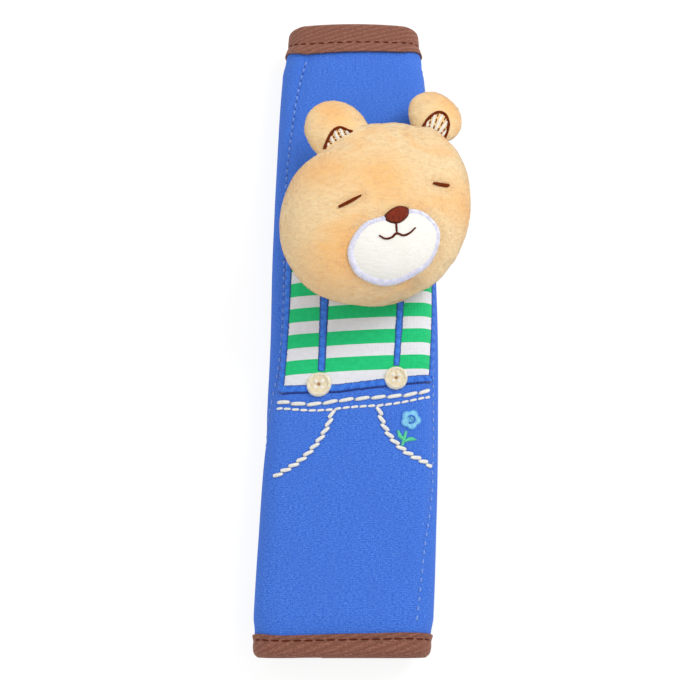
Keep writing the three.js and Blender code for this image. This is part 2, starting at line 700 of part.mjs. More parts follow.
// A row of stitches along a binding, at a steady distance from its cloth edge.
function bindingStitches(end, inward, width, inset) {
  const v = end + inward * (width - inset);
  const at = middle(v);
  const half = BINDING_STITCH_HALF_SPAN;
  const path = [[at - half, v], [at, v], [at + half, v]];
  return stitchRow(laidFlat(path), BINDING_STITCH, padPoint, LAYER_GAP + BINDING + SEAT_GAP);
}

const clothStitches = (points, stitch) => stitchRow(laidFlat(points), stitch, padPoint, SEAT_GAP);

// Head: a dome in front of the seam plane and a shallower one behind it
const headOutline = outlineOf(HEAD_OUTLINE);
const radians = THREE.MathUtils.degToRad;
const headTurn = new THREE.Euler(0, radians(HEAD_TURN), radians(HEAD_ROLL), 'ZYX');
const headMatrix = new THREE.Matrix4().makeRotationFromEuler(headTurn).setPosition(...HEAD_PLACE);
const headInverse = headMatrix.clone().invert();

// Lifts a point of the head off the sleeve, where the head is pressed flat against it.
function settle(point, clearance) {
  const world = point.clone().applyMatrix4(headMatrix);
  const floor = frontHeight(world.x, world.y) + clearance;
  if (world.z < floor) world.z = floor;
  return world.applyMatrix4(headInverse);
}

// One ring of the head at an angle from the pole, drawn in by the layers outside it.
function headRing(tilt, facing, drawn, clearance) {
  const depth = (facing > 0 ? HEAD_FRONT_DEPTH : HEAD_BACK_DEPTH) - drawn;
  const seam = SEAM_GAP / 2;
  return spread(0, 2 * Math.PI, HEAD_SIDES).slice(1).map((angle) => {
    const reach = (headOutline.reach(angle) - drawn) * Math.sin(tilt);
    const z = seam + (depth - seam) * Math.pow(rise(Math.cos(tilt) ** 2), DOME_FULLNESS);
    const [x, y] = [reach * Math.cos(angle), reach * Math.sin(angle)];
    return settle(new THREE.Vector3(x, y, facing * z), clearance);
  });
}

function headPole(facing, drawn, clearance) {
  const depth = (facing > 0 ? HEAD_FRONT_DEPTH : HEAD_BACK_DEPTH) - drawn;
  return settle(new THREE.Vector3(0, 0, facing * depth), clearance);
}

const quarterTurns = (steps) => spread(0, Math.PI / 2, steps).slice(1);

function headCover(facing, steps) {
  const rings = [
    ...quarterTurns(steps).map((tilt) => headRing(tilt, facing, 0, HEAD_SEAT)),
    ...quarterTurns(steps).reverse().map((tilt) => headRing(tilt, facing, PLUSH, HEAD_SEAT + PLUSH)),
  ];
  return poleSolid(headPole(facing, 0, HEAD_SEAT), rings, headPole(facing, PLUSH, HEAD_SEAT + PLUSH));
}

function headBody(drawn, clearance, steps) {
  const front = quarterTurns(steps).map((tilt) => headRing(tilt, 1, drawn, clearance));
  const back = quarterTurns(steps).reverse().slice(1).map((tilt) => headRing(tilt, -1, drawn, clearance));
  return poleSolid(headPole(1, drawn, clearance), [...front, ...back], headPole(-1, drawn, clearance));
}

// A place on the face, from its x and y in the head's own plane and a height above the plush.
function onFace(x, y, h) {
  const height = (px, py) => {
    const share = Math.min(1, headOutline.share(px, py));
    const seam = SEAM_GAP / 2;
    return seam + (HEAD_FRONT_DEPTH - seam) * Math.pow(1 - share * share, DOME_FULLNESS / 2);
  };
  const slopeX = (height(x + SLOPE_STEP, y) - height(x - SLOPE_STEP, y)) / (2 * SLOPE_STEP);
  const slopeY = (height(x, y + SLOPE_STEP) - height(x, y - SLOPE_STEP)) / (2 * SLOPE_STEP);
  const normal = new THREE.Vector3(-slopeX, -slopeY, 1).normalize();
  return new THREE.Vector3(x, y, height(x, y)).addScaledVector(normal, h);
}

// Ears: flat cushions set into the head's seam
function earHeight(ear, x, y) {
  const share = Math.min(1, Math.hypot(x, y) / ear.radius);
  return SEAM_GAP / 2 + (EAR_DEPTH - SEAM_GAP / 2) * rise(1 - share * share);
}

const earPoint = (ear, x, y, z) => new THREE.Vector3(ear.x + x, ear.y + y, EAR_FORWARD + z);
const onEar = (ear) => (x, y, h) => earPoint(ear, x, y, earHeight(ear, x, y) + h);
const earPole = (ear, facing, drawn) => earPoint(ear, 0, 0, facing * (EAR_DEPTH - drawn));

function earRing(ear, tilt, facing, drawn) {
  const seam = SEAM_GAP / 2;
  const reach = (ear.radius - drawn) * Math.sin(tilt);
  const z = facing * (seam + (EAR_DEPTH - drawn - seam) * rise(Math.cos(tilt) ** 2));
  return spread(0, 2 * Math.PI, EAR_SIDES).slice(1).map(
    (angle) => earPoint(ear, reach * Math.cos(angle), reach * Math.sin(angle), z),
  );
}

function earCover(ear, facing) {
  const rings = [
    ...quarterTurns(EAR_RINGS).map((tilt) => earRing(ear, tilt, facing, 0)),
    ...quarterTurns(EAR_RINGS).reverse().map((tilt) => earRing(ear, tilt, facing, EAR_PLUSH)),
  ];
  return poleSolid(earPole(ear, facing, 0), rings, earPole(ear, facing, EAR_PLUSH));
}

function earStuffing(ear) {
  const drawn = EAR_PLUSH + SEAM_GAP;
  const front = quarterTurns(EAR_RINGS).map((tilt) => earRing(ear, tilt, 1, drawn));
  const back = quarterTurns(EAR_RINGS).reverse().slice(1).map((tilt) => earRing(ear, tilt, -1, drawn));
  return poleSolid(earPole(ear, 1, drawn), [...front, ...back], earPole(ear, -1, drawn));
}

// Joining and cutting of closed geometries
function toManifold(geometry) {
  const bare = geometry.clone();
  bare.deleteAttribute('normal');
  bare.deleteAttribute('uv');
  const merged = mergeVertices(bare, WELD);
  return new wasm.Manifold(new wasm.Mesh({
    numProp: 3,
    vertProperties: new Float32Array(merged.attributes.position.array),
    triVerts: new Uint32Array(merged.index.array),
  }));
}

function toGeometry(manifold) {
  const mesh = manifold.getMesh();
  const geometry = new THREE.BufferGeometry();
  geometry.setAttribute('position', new THREE.BufferAttribute(mesh.vertProperties, 3));
  geometry.setIndex(new THREE.BufferAttribute(mesh.triVerts, 1));
  return geometry;
}

const headWithGap = toManifold(headBody(-SEAM_GAP, HEAD_SEAT - SEAM_GAP, HEAD_FRONT_RINGS));
const clearOfHead = (geometry) => toGeometry(toManifold(geometry).subtract(headWithGap));

// Ear embroidery: a brown arch over a lattice of pale threads
function earArch(ear, points) {
  return clearOfHead(satinBand(points, () => ARCH_WIDTH, onEar(ear), onCloth, threadTop));
}

function earLattice(ear, points) {
  const outline = outlineOf(points, centroid(points));
  const top = () => SEAT_GAP + THREAD * LATTICE_HEIGHT;
  const size = { sides: LEAF_SIDES, shares: SMALL_RINGS };
  return clearOfHead(patch(outline, onEar(ear), onCloth, top, size));
}

// Muzzle: a padded white patch inside a satin border
const muzzleOutline = outlineOf(MUZZLE_OUTLINE, MUZZLE_CENTRE);
const muzzleInset = MUZZLE_BORDER_WIDTH + SEAT_GAP;

function muzzleTop(x, y) {
  const angle = Math.atan2(y - MUZZLE_CENTRE[1], x - MUZZLE_CENTRE[0]);
  const reach = Math.hypot(x - MUZZLE_CENTRE[0], y - MUZZLE_CENTRE[1]);
  const share = reach / (muzzleOutline.reach(angle) - muzzleInset);
  return SEAT_GAP + MUZZLE_CLOTH + MUZZLE_PUFF * Math.max(0, 1 - share * share);
}

function muzzlePatch() {
  return patch(muzzleOutline, onFace, () => SEAT_GAP, muzzleTop, {
    sides: MUZZLE_SIDES, shares: MUZZLE_RINGS, inset: muzzleInset,
  });
}

function muzzleBorder() {
  const rows = spread(0, 2 * Math.PI, MUZZLE_SIDES).slice(1).map((angle) => {
    const place = (drawn, h) => {
      const reach = muzzleOutline.reach(angle) - drawn;
      const [x, y] = [reach * Math.cos(angle), reach * Math.sin(angle)];
      return onFace(MUZZLE_CENTRE[0] + x, MUZZLE_CENTRE[1] + y, h);
    };
    const drawn = [MUZZLE_BORDER_WIDTH, MUZZLE_BORDER_WIDTH / 2, 0];
    return {
      outer: drawn.map((d, i) => place(d, SEAT_GAP + SATIN * MUZZLE_BORDER_HEIGHTS[i])),
      inner: drawn.map((d) => place(d, SEAT_GAP)),
    };
  });
  return sheetSolid(rows, true);
}

// What is sewn over the muzzle lies above both its cloth and its border.
const overMuzzle = (x, y) => Math.max(BORDER_TOP, muzzleTop(x, y)) + SEAT_GAP;

function nose() {
  const top = (x, y, share) => overMuzzle(x, y) + SATIN * lerp(1, NOSE_EDGE, share * share);
  const outline = outlineOf(NOSE_OUTLINE, NOSE_CENTRE);
  return patch(outline, onFace, overMuzzle, top, { sides: NOSE_SIDES, shares: SMALL_RINGS });
}

const mouthTop = (x, y) => overMuzzle(x, y) + THREAD;
const taper = (width) => (share) => width * lerp(EYE_END, 1, Math.sin(Math.PI * share));

// Colours of the cloth and thread
const look = (color, roughness) => ({ color, roughness, metalness: 0 });
const JERSEY = look(0x3f74d6, 0.9);
const FOAM_LOOK = look(0xf2efe6, 0.95);
const LINING_LOOK = look(0x3562b4, 0.95);
const TAPE_BROWN = look(0x8f5a49, 0.85);
const DARK_THREAD = look(0x4a2520, 0.7);
const CREAM_THREAD = look(0xf0ebe1, 0.7);
const FASTENER_LOOK = look(0x24427f, 0.95);
const SHIRT_WHITE = look(0xe3dfe6, 0.9);
const SHIRT_GREEN = look(0x23c677, 0.9);
const SATIN_BLUE = look(0x2166cc, 0.45);
const BUTTON_CREAM = look(0xe8d2a6, 0.55);
const FLOWER_BLUE = look(0x74ccf3, 0.5);
const LEAF_GREEN = look(0x50dd92, 0.5);
const PLUSH_TAN = look(0xf8cd95, 1);
const STUFFING_LOOK = look(0xf4f2ee, 1);
const MUZZLE_WHITE = look(0xebebe5, 0.95);
const MUZZLE_LILAC = look(0xe0e0f4, 0.5);
const NOSE_BROWN = look(0x7c3524, 0.45);

const pad = new THREE.Group();
const head = new THREE.Group();
head.position.set(...HEAD_PLACE);
head.rotation.copy(headTurn);
pad.add(head);

function add(parent, name, geometry, finish) {
  const mesh = new THREE.Mesh(geometry, new THREE.MeshStandardMaterial(finish));
  mesh.name = name;
  parent.add(mesh);
}

add(pad, 'outer_cover', outerCover(), JERSEY);
add(pad, 'foam_core', wallLayer(COVER + LAYER_GAP, FOAM, COVER + LAYER_GAP), FOAM_LOOK);
add(pad, 'inner_lining', wallLayer(WALL - LINING, LINING, HEM + LAYER_GAP), LINING_LOOK);
for (const [place, end, inward, width, inset] of [
  ['top', TOP_END, -1, TOP_BINDING_WIDTH, TOP_STITCH_INSET],
  ['bottom', BOTTOM_END, 1, BOTTOM_BINDING_WIDTH, BOTTOM_STITCH_INSET],
]) {
  add(pad, `${place}_binding`, endBinding(end, inward, width), TAPE_BROWN);
  add(pad, `${place}_binding_stitches`, bindingStitches(end, inward, width, inset), DARK_THREAD);
}
add(pad, 'hook_tape', fastenerTape(onOuterFlap, -WALL - LAYER_GAP - FASTENER), FASTENER_LOOK);
add(pad, 'loop_tape', fastenerTape(onInnerFlap, LAYER_GAP), FASTENER_LOOK);

add(pad, 'striped_panel', stripedPanel(), SHIRT_WHITE);
for (let i = 0; i < STRIPE_COUNT; i++) {
  add(pad, `green_stripe_${i + 1}`, greenStripe(i), SHIRT_GREEN);
}
add(pad, 'panel_border', panelBorder(), SATIN_BLUE);
add(pad, 'left_suspender', suspender(LEFT_SUSPENDER, LEFT_SUSPENDER_WIDTH), SATIN_BLUE);
add(pad, 'right_suspender', suspender(RIGHT_SUSPENDER, RIGHT_SUSPENDER_WIDTH), SATIN_BLUE);
for (const [side, place, radius] of [
  ['left', LEFT_BUTTON, LEFT_BUTTON_RADIUS],
  ['right', RIGHT_BUTTON, RIGHT_BUTTON_RADIUS],
]) {
  add(pad, `${side}_button`, button(place, radius), BUTTON_CREAM);
  add(pad, `${side}_button_centre`, disc(place, BUTTON_CENTRE_RADIUS, BUTTON_LOW, BUTTON), NOSE_BROWN);
}
add(pad, 'waist_upper_stitches', clothStitches(WAIST_UPPER, UPPER_STITCH), CREAM_THREAD);
add(pad, 'waist_lower_stitches', clothStitches(WAIST_LOWER, LOWER_STITCH), CREAM_THREAD);
add(pad, 'left_pocket_stitches', clothStitches(LEFT_POCKET, POCKET_STITCH), CREAM_THREAD);
add(pad, 'right_pocket_stitches', clothStitches(RIGHT_POCKET, POCKET_STITCH), CREAM_THREAD);
add(pad, 'flower_blossom', blossom(), FLOWER_BLUE);
add(pad, 'flower_centre', disc(FLOWER, FLOWER_CENTRE_RADIUS, SEAT_GAP, THREAD), SATIN_BLUE);
const stem = satinBand(laidFlat(STEM), () => STEM_WIDTH, padPoint, onCloth, threadTop);
add(pad, 'flower_stem', stem, LEAF_GREEN);
add(pad, 'flower_left_leaf', leaf(LEFT_LEAF), LEAF_GREEN);
add(pad, 'flower_right_leaf', leaf(RIGHT_LEAF), LEAF_GREEN);

const insideCover = PLUSH + SEAM_GAP;
const stuffing = headBody(insideCover, HEAD_SEAT + insideCover, HEAD_BACK_RINGS);
add(head, 'head_front_cover', headCover(1, HEAD_FRONT_RINGS), PLUSH_TAN);
add(head, 'head_back_cover', headCover(-1, HEAD_BACK_RINGS), PLUSH_TAN);
add(head, 'head_stuffing', stuffing, STUFFING_LOOK);
for (const [side, ear, arch, lattice] of [
  ['left', LEFT_EAR, LEFT_ARCH, LEFT_LATTICE],
  ['right', RIGHT_EAR, RIGHT_ARCH, RIGHT_LATTICE],
]) {
  add(head, `${side}_ear_front`, clearOfHead(earCover(ear, 1)), PLUSH_TAN);
  add(head, `${side}_ear_back`, clearOfHead(earCover(ear, -1)), PLUSH_TAN);
  add(head, `${side}_ear_stuffing`, clearOfHead(earStuffing(ear)), STUFFING_LOOK);
  add(head, `${side}_ear_arch`, earArch(ear, arch), NOSE_BROWN);
  add(head, `${side}_ear_lattice`, earLattice(ear, lattice), CREAM_THREAD);
}
add(head, 'muzzle_patch', muzzlePatch(), MUZZLE_WHITE);
add(head, 'muzzle_border', muzzleBorder(), MUZZLE_LILAC);
add(head, 'nose', nose(), NOSE_BROWN);
for (const [name, path] of [['mouth_line', MOUTH_LINE], ['mouth_stem', MOUTH_STEM]]) {
  add(head, name, satinBand(path, () => MOUTH_WIDTH, onFace, overMuzzle, mouthTop), DARK_THREAD);
}
for (const [name, path] of [['left_eye', LEFT_EYE], ['right_eye', RIGHT_EYE]]) {
  add(head, name, satinBand(path, taper(EYE_WIDTH), onFace, onCloth, threadTop), DARK_THREAD);
}

// The origin is at the middle of the underside of the whole part.
const shoulderPad = new THREE.Group();
shoulderPad.add(pad);
shoulderPad.updateMatrixWorld(true);
const bounds = new THREE.Box3().setFromObject(shoulderPad, true);
const centre = bounds.getCenter(new THREE.Vector3());
pad.position.set(-centre.x, -centre.y, -bounds.min.z);

export default shoulderPad;
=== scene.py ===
"""Dresses a seat belt shoulder pad: a padded jersey sleeve with bound ends, embroidered dungarees on
its front and a stuffed plush bear head. Lengths are millimetres in the sleeve's own frame (x across
it, y along it, z up from the floor), until to_frame() turns them into metres in the part's frame."""

import math
from types import SimpleNamespace

import bmesh
import bpy
import numpy as np
from mathutils import Euler, Matrix, Vector, noise
from mathutils.bvhtree import BVHTree
from mathutils.kdtree import KDTree


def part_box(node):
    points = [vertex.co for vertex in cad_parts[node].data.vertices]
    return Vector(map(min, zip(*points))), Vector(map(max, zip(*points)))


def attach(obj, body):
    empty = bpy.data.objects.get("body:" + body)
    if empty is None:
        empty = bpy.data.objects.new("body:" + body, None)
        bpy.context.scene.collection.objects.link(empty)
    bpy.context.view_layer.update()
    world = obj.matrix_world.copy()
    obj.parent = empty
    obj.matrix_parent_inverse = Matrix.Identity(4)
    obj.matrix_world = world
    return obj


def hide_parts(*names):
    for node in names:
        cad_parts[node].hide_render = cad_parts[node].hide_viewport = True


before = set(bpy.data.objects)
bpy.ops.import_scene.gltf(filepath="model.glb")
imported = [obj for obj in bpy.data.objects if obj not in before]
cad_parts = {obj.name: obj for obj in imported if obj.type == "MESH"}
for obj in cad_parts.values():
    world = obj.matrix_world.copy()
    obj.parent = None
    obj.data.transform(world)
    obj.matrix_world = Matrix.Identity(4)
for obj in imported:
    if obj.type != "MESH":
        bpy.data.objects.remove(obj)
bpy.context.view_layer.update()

MM = 0.001

# Sleeve: outer form
LENGTH = 278.0
BOTTOM_END = -140.0
TOP_END = BOTTOM_END + LENGTH
HALF_WIDTH = 35.5
SIDE_RADIUS = 10.5
CROWN = 1.5
TOP_NARROWING = 4.4
TOP_TAPER_START = 16.0
BOTTOM_NARROWING = 0.8
BOTTOM_TAPER_START = -100.0
LEAN_SLOPE = 0.0475
LEAN_START = 10.0
LEAN_EASE = 60.0

# Sleeve: its wall, flaps and fastener
COVER = 0.8
FOAM = 2.2
LINING = 0.6
LAYER_GAP = 0.15
HEM = 7.0
OUTER_FLAP_EDGE = -8.0
INNER_FLAP_EDGE = 14.0
INNER_BEND = 6.0
FASTENER = 1.0
FASTENER_MARGIN = 1.5

# Bindings: inward is the way in from the end, inset how far the stitches lie from the free edge, draw
# how far that edge moves towards the top end round the sides, stitch a stitch's length and width
BINDING = 0.8
BINDING_BACK_WIDTH = 8.0
BINDING_ROUND = 2.4
BINDINGS = {
    "top": SimpleNamespace(
        end=TOP_END, inward=-1, width=16.2, inset=5.6, draw=3.8, stitch=(2.8, 0.75)
    ),
    "bottom": SimpleNamespace(
        end=BOTTOM_END, inward=1, width=8.3, inset=2.1, draw=0.4, stitch=(3.5, 0.55)
    ),
}

# Sizes that follow
WALL = COVER + FOAM + LINING + 2 * LAYER_GAP
BASE = BINDING + LAYER_GAP
THICKNESS = 2 * SIDE_RADIUS + CROWN
FLAP_RISE = WALL + 2 * FASTENER + 3 * LAYER_GAP
CURL_RADIUS = SIDE_RADIUS + INNER_BEND
CURL = math.acos(1 - FLAP_RISE / CURL_RADIUS)

# Shirt panel, suspenders and buttons, as x and y on the front, with widths and radii
PANEL = [(-27.2, 28), (-30.0, -34.9), (-6.8, -34.8), (31.0, -29.7), (34.2, 32)]
BORDER_WIDTH = 3.9
BORDER_OUTSET = 0.7
STRIPE_COUNT = 5
STRIPE_WIDTH = 6.0
STRIPE_PITCH = 11.3
FIRST_STRIPE = -25.3
STRIPE_SLOPE = 0.052
SUSPENDERS = {
    "left": ([(-12.4, 10), (-12.9, 0), (-13.9, -28.2)], 3.7),
    "right": ([(19.2, 10), (18.7, 0), (16.7, -25.8)], 3.1),
}
BUTTONS = {"left": ((-14.8, -34.0), 5.1), "right": ((16.5, -31.2), 4.8)}

# Rows of pale stitches: their line, then the stitches' pitch, length, width, rise and slant, then how
# deep the row presses the padding and over what reach
STITCH_ROWS = {
    "waist_upper": (
        [(-32.4, -40.3), (-18, -42.2), (-6.5, -40.6), (7.6, -39.3), (22.3, -37.9), (31.2, -35.2)],
        (6.6, 6.8, 1.65, 1.2, 5), (0.8, 2.0),
    ),
    "waist_lower": (
        [(-32.4, -43.2), (-16, -44.7), (-2.5, -43.5), (15.1, -41.9), (31.2, -38.0)],
        (3.4, 3.3, 1.15, 0.8, 4), (0.5, 1.6),
    ),
    "left_pocket": (
        [(-9.2, -44.4), (-10.6, -49.6), (-14.3, -56.5), (-21.9, -65), (-32.6, -71.6)],
        (3.8, 4.9, 1.65, 1.2, -22), (0.8, 1.8),
    ),
    "right_pocket": (
        [(9.3, -43.2), (10.5, -48.8), (13.3, -54.6), (20.4, -61.9), (31.0, -67.2)],
        (3.8, 4.9, 1.65, 1.2, 22), (0.8, 1.8),
    ),
}

# Flower: its green parts are a line, a width and how narrow the ends are
FLOWER = (22.2, -48.4)
FLOWER_RADIUS = 4.0
PETALS = 5
FLOWER_GREEN = {
    "stem": ([(20.2, -53.2), (19.4, -56.2), (18.5, -59.2)], 1.3, 0.75),
    "left_leaf": ([(16.9, -52.9), (17.6, -54.8), (19.2, -57.0)], 1.6, 0.35),
    "right_leaf": ([(19.4, -57.6), (21.6, -56.4), (24.2, -56.6)], 1.6, 0.35),
}

# Topstitching along both sides, where it shows on the front and where it runs on round the side
LEFT_TOPSTITCH = [
    (-21.5, 118.8), (-25.1, 103.5), (-27.5, 87), (-30.1, 61.2), (-30.9, -4.5), (-33.2, -30.9),
]
LEFT_TOPSTITCH_HIDDEN = [(-39, -48), (-43, -66), (-45, -100), (-45, -130)]
RIGHT_TOPSTITCH_HIDDEN = [(36, 119), (38, 60), (36.8, 0)]
RIGHT_TOPSTITCH = [(32.7, -38.3), (30.9, -76.3), (27.2, -99.5), (25, -115.3), (23.1, -127.5)]
TOPSTITCH_PITCH = 3.6
TOPSTITCH_SIZE = (2.0, 0.95, 0.5)
# Painted shade dots at the needle holes: length, width and rise
HOLE_SHADE_SIZE = (0.9, 0.8, 0.1)
SHIFTED_POINTS = 400

# Head: outline of its seam, depths in front of and behind it, and how it sits on the sleeve
HEAD_OUTLINE = [
    (-35.4, 16.0), (-43.5, -3.4), (-43.1, -21), (-33.0, -36.6), (-12.6, -43.2), (8, -41), (27, -29.4),
    (39.6, -8.6), (43.2, 10), (41.0, 23), (34.6, 32), (26, 38), (13, 41.6), (2, 40.4), (-8, 34.6),
    (-17, 29.3), (-26, 24.7),
]
HEAD_FRONT_DEPTH = 22.0
HEAD_BACK_DEPTH = 16.0
HEAD_PLACE = (7.8, 36.0, 38.0)
HEAD_TURN = 15.0
HEAD_ROLL = 9.0
HEAD_SEAT = 1.8
DOME_FULLNESS = 0.9

# Ears as x, y and radius, and the arches embroidered on them round their places
EARS = {"left": (-11.4, 36.4, 15.7), "right": (36.2, 44.3, 13.5)}
EAR_DEPTH = 5.5
EAR_FORWARD = 1.0
MOTIF_PLACES = {"left": (-10.7, 33.2), "right": (33.9, 40.4)}
MOTIF_DROP = 1.5
MOTIF_REACH = 8.0
ARCHES = {
    "left": [(-8.3, -7.3), (-6.3, -3.3), (-4.1, -0.5), (-1.8, 0.7), (0.8, 0.1), (3.6, -2.0)],
    "right": [
        (-7.6, -4.6), (-5.2, -1.6), (-2.1, 0.4), (0.3, 0.9), (2.8, -0.4), (3.6, -4.4), (1.6, -9.8),
    ],
}

# Face, in the head's own plane
MUZZLE_CENTRE = (-1.3, -24.6)
MUZZLE_OUTLINE = [
    (-21.1, -25.9), (-14.8, -16.4), (-6.2, -13.4), (7.1, -10.9), (12.8, -12.6), (18.0, -19.2),
    (13.6, -30.5), (1.3, -37.3), (-6.2, -38.4), (-13.4, -36.7), (-18.9, -33.1),
]
MUZZLE_BORDER_WIDTH = 2.8
MUZZLE_PUFF = 2.6
NOSE_CENTRE = (-0.2, -13.5)
NOSE_OUTLINE = [
    (-5.5, -13.6), (0.5, -9.8), (4.9, -10.8), (4.0, -13.9), (-1.1, -17.1), (-4.9, -15.8),
]
MOUTH_LINE = [
    (-9.1, -21.2), (-6.8, -22.6), (-4.2, -22.2), (-2.2, -20.9), (0.5, -21.7), (3.0, -20.9),
    (5.9, -18.8),
]
MOUTH_STEM = [(-1.5, -16.0), (-2.1, -21.0)]
LEFT_EYE = [(-22.4, -7.8), (-17.9, -6.1), (-13.2, -4.1)]
RIGHT_EYE = [(18.3, 0.9), (22.4, 0.6), (25.6, 0.6)]

# Camera, as fitted to the photograph
CAMERA_ELEVATION = 72.0
CAMERA_DISTANCE = 450.0
CAMERA_TARGET = (-6.3, -11.0, 11.0)
FOCAL_PIXELS = 1062.0
FRAME_PIXELS = 680.0
SENSOR = 36.0

# Where the sleeve's frame lies in the part's frame
binding_low, binding_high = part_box("top_binding")
SHIFT = np.array([
    (binding_low.x + binding_high.x) / 2 / MM, binding_high.y / MM - TOP_END, 0.0,
])


def to_frame(points):
    """Millimetres in the sleeve's frame as metres in the part's frame."""
    return (np.asarray(points, float) + SHIFT) * MM


# Form of the sleeve


def middle(v):
    """The x of the sleeve's middle, which leans aside towards the bottom end."""
    down = np.maximum(0, LEAN_START - v)
    eased = np.where(down < LEAN_EASE, down**2 / (2 * LEAN_EASE), down - LEAN_EASE / 2)
    return -LEAN_SLOPE * eased


def section(v):
    """The cross-section at v: its radii and the lengths run round it from the middle of the front."""
    s = SimpleNamespace()
    up = np.clip((v - TOP_TAPER_START) / (TOP_END - TOP_TAPER_START), 0, 1)
    down = np.clip((BOTTOM_TAPER_START - v) / (BOTTOM_TAPER_START - BOTTOM_END), 0, 1)
    s.flat = HALF_WIDTH - TOP_NARROWING * up**2 - BOTTOM_NARROWING * down**2 - SIDE_RADIUS
    s.crown_angle = 2 * np.arctan(CROWN / s.flat)
    s.crown_radius = SIDE_RADIUS + s.flat / np.sin(s.crown_angle)
    s.crown_end = s.crown_radius * s.crown_angle
    s.side_end = s.crown_end + SIDE_RADIUS * (math.pi - s.crown_angle)
    s.curl_end = s.side_end + SIDE_RADIUS * CURL
    s.bend_end = s.side_end + CURL_RADIUS * CURL
    s.bend_x = CURL_RADIUS * math.sin(CURL) - s.flat
    s.outer_edge = s.side_end + s.flat - OUTER_FLAP_EDGE
    s.inner_edge = s.bend_end + INNER_FLAP_EDGE - s.bend_x
    return s


def pad_point(sigma, v, h):
    """A point of the sleeve: sigma runs round the section, v along it, h is above the cover."""
    sigma, v, h = np.broadcast_arrays(*(np.asarray(a, float) for a in (sigma, v, h)))
    s = section(v)
    side = np.where(sigma < 0, -1, 1)
    run = np.abs(sigma)
    front = run / s.crown_radius
    turn = s.crown_angle + (run - s.crown_end) / SIDE_RADIUS
    bend = math.pi + CURL - (run - s.curl_end) / INNER_BEND
    where = [
        run <= s.crown_end,
        run <= np.where(side > 0, s.side_end, s.curl_end),
        side > 0,
        run <= s.bend_end,
    ]
    across = [
        (s.crown_radius + h) * np.sin(front),
        s.flat + (SIDE_RADIUS + h) * np.sin(turn),
        s.flat - (run - s.side_end),
        -s.bend_x - (INNER_BEND - h) * np.sin(bend),
    ]
    up = [
        BASE + THICKNESS - s.crown_radius + (s.crown_radius + h) * np.cos(front),
        BASE + SIDE_RADIUS + (SIDE_RADIUS + h) * np.cos(turn),
        BASE - h,
        BASE + SIDE_RADIUS - CURL_RADIUS * math.cos(CURL) - (INNER_BEND - h) * np.cos(bend),
    ]
    x = np.select(where, across, -s.bend_x - (run - s.bend_end))
    z = np.select(where, up, BASE + FLAP_RISE - h)
    return np.stack([middle(v) + side * x, v, z], axis=-1)


def sigma_at(x, v):
    """Where an x on the front of the sleeve lies round its section."""
    s = section(v)
    across = np.abs(x - middle(v))
    on_crown = s.crown_radius * np.arcsin(np.clip(across / s.crown_radius, 0, 1))
    angle = np.arcsin(np.clip((across - s.flat) / SIDE_RADIUS, 0, 1))
    on_side = s.crown_end + SIDE_RADIUS * (angle - s.crown_angle)
    crown_edge = s.crown_radius * np.sin(s.crown_angle)
    return np.sign(x - middle(v)) * np.where(across <= crown_edge, on_crown, on_side)


def laid_flat(points):
    """Points given as x and v on the front, laid out flat as sigma and v."""
    x, v = np.array(points, float).T
    return np.stack([sigma_at(x, v), v], axis=1)


def front_height(x, v):
    """The height of the sleeve's front above the floor, falling away beyond its sides."""
    s = section(v)
    across = np.abs(x - middle(v))
    crown = np.sqrt(np.maximum(0, s.crown_radius**2 - across**2)) - s.crown_radius
    side = np.sqrt(np.maximum(0, SIDE_RADIUS**2 - (across - s.flat) ** 2))
    on_crown = across <= s.crown_radius * np.sin(s.crown_angle)
    return BASE + np.where(on_crown, THICKNESS + crown, SIDE_RADIUS + side)


# Lines


def around(count):
    """Angles at even steps all the way round."""
    return np.linspace(0, 2 * math.pi, count, endpoint=False)


def ring_points(centre, reach, angles):
    """Points round a centre, each at its reach and angle."""
    x, y = centre
    return np.stack([x + reach * np.cos(angles), y + reach * np.sin(angles)], -1)


def through(points, closed=False, steps=12):
    """A smooth curve through the points."""
    points = [np.array(p, float) for p in points]
    if closed:
        chain = [points[-1], *points, points[0], points[1]]
    else:
        chain = [2 * points[0] - points[1], *points, 2 * points[-1] - points[-2]]
    t = np.linspace(0, 1, steps, endpoint=False)[:, None]
    spans = []
    for a, b, c, d in zip(chain, chain[1:], chain[2:], chain[3:]):
        ab, bc, cd = (math.dist(p, q) ** 0.5 for p, q in ((a, b), (b, c), (c, d)))
        leave = ((b - a) / ab - (c - a) / (ab + bc) + (c - b) / bc) * bc
        arrive = ((c - b) / bc - (d - b) / (bc + cd) + (d - c) / cd) * bc
        bow = (3 * (c - b) - 2 * leave - arrive) * t**2
        spans.append(b + leave * t + bow + (2 * (b - c) + leave + arrive) * t**3)
    end = points[0] if closed else points[-1]
    return np.concatenate([*spans, [end]])


def measured(line):
    """The distance along a line at each of its points."""
    return np.concatenate([[0], np.cumsum(np.linalg.norm(np.diff(line, axis=0), axis=1))])


def at_distance(line, distance):
    """The places at distances along a line."""
    run = measured(line)
    return np.stack([np.interp(distance, run, line[:, k]) for k in (0, 1)], -1)


def evenly(line, step, closed=False):
    """Even steps along a line: the places, the unit steps to their left, and the distances."""
    length = measured(line)[-1]
    at = np.linspace(0, length, max(2, round(length / step)) + 1)
    if closed:
        at = at[:-1]
    ahead, behind = (
        at_distance(line, np.clip(at + shift, 0, length)) for shift in (step / 2, -step / 2)
    )
    way = ahead - behind
    way /= np.linalg.norm(way, axis=1, keepdims=True)
    return at_distance(line, at), np.stack([-way[:, 1], way[:, 0]], 1), at


def distance_to(line, x, y):
    """The distance of every x and y from a line."""
    nearest = np.full(np.shape(x), np.inf)
    for (ax, ay), (bx, by) in zip(line, line[1:]):
        dx, dy = bx - ax, by - ay
        share = np.clip(((x - ax) * dx + (y - ay) * dy) / (dx * dx + dy * dy), 0, 1)
        nearest = np.minimum(nearest, np.hypot(x - ax - share * dx, y - ay - share * dy))
    return nearest


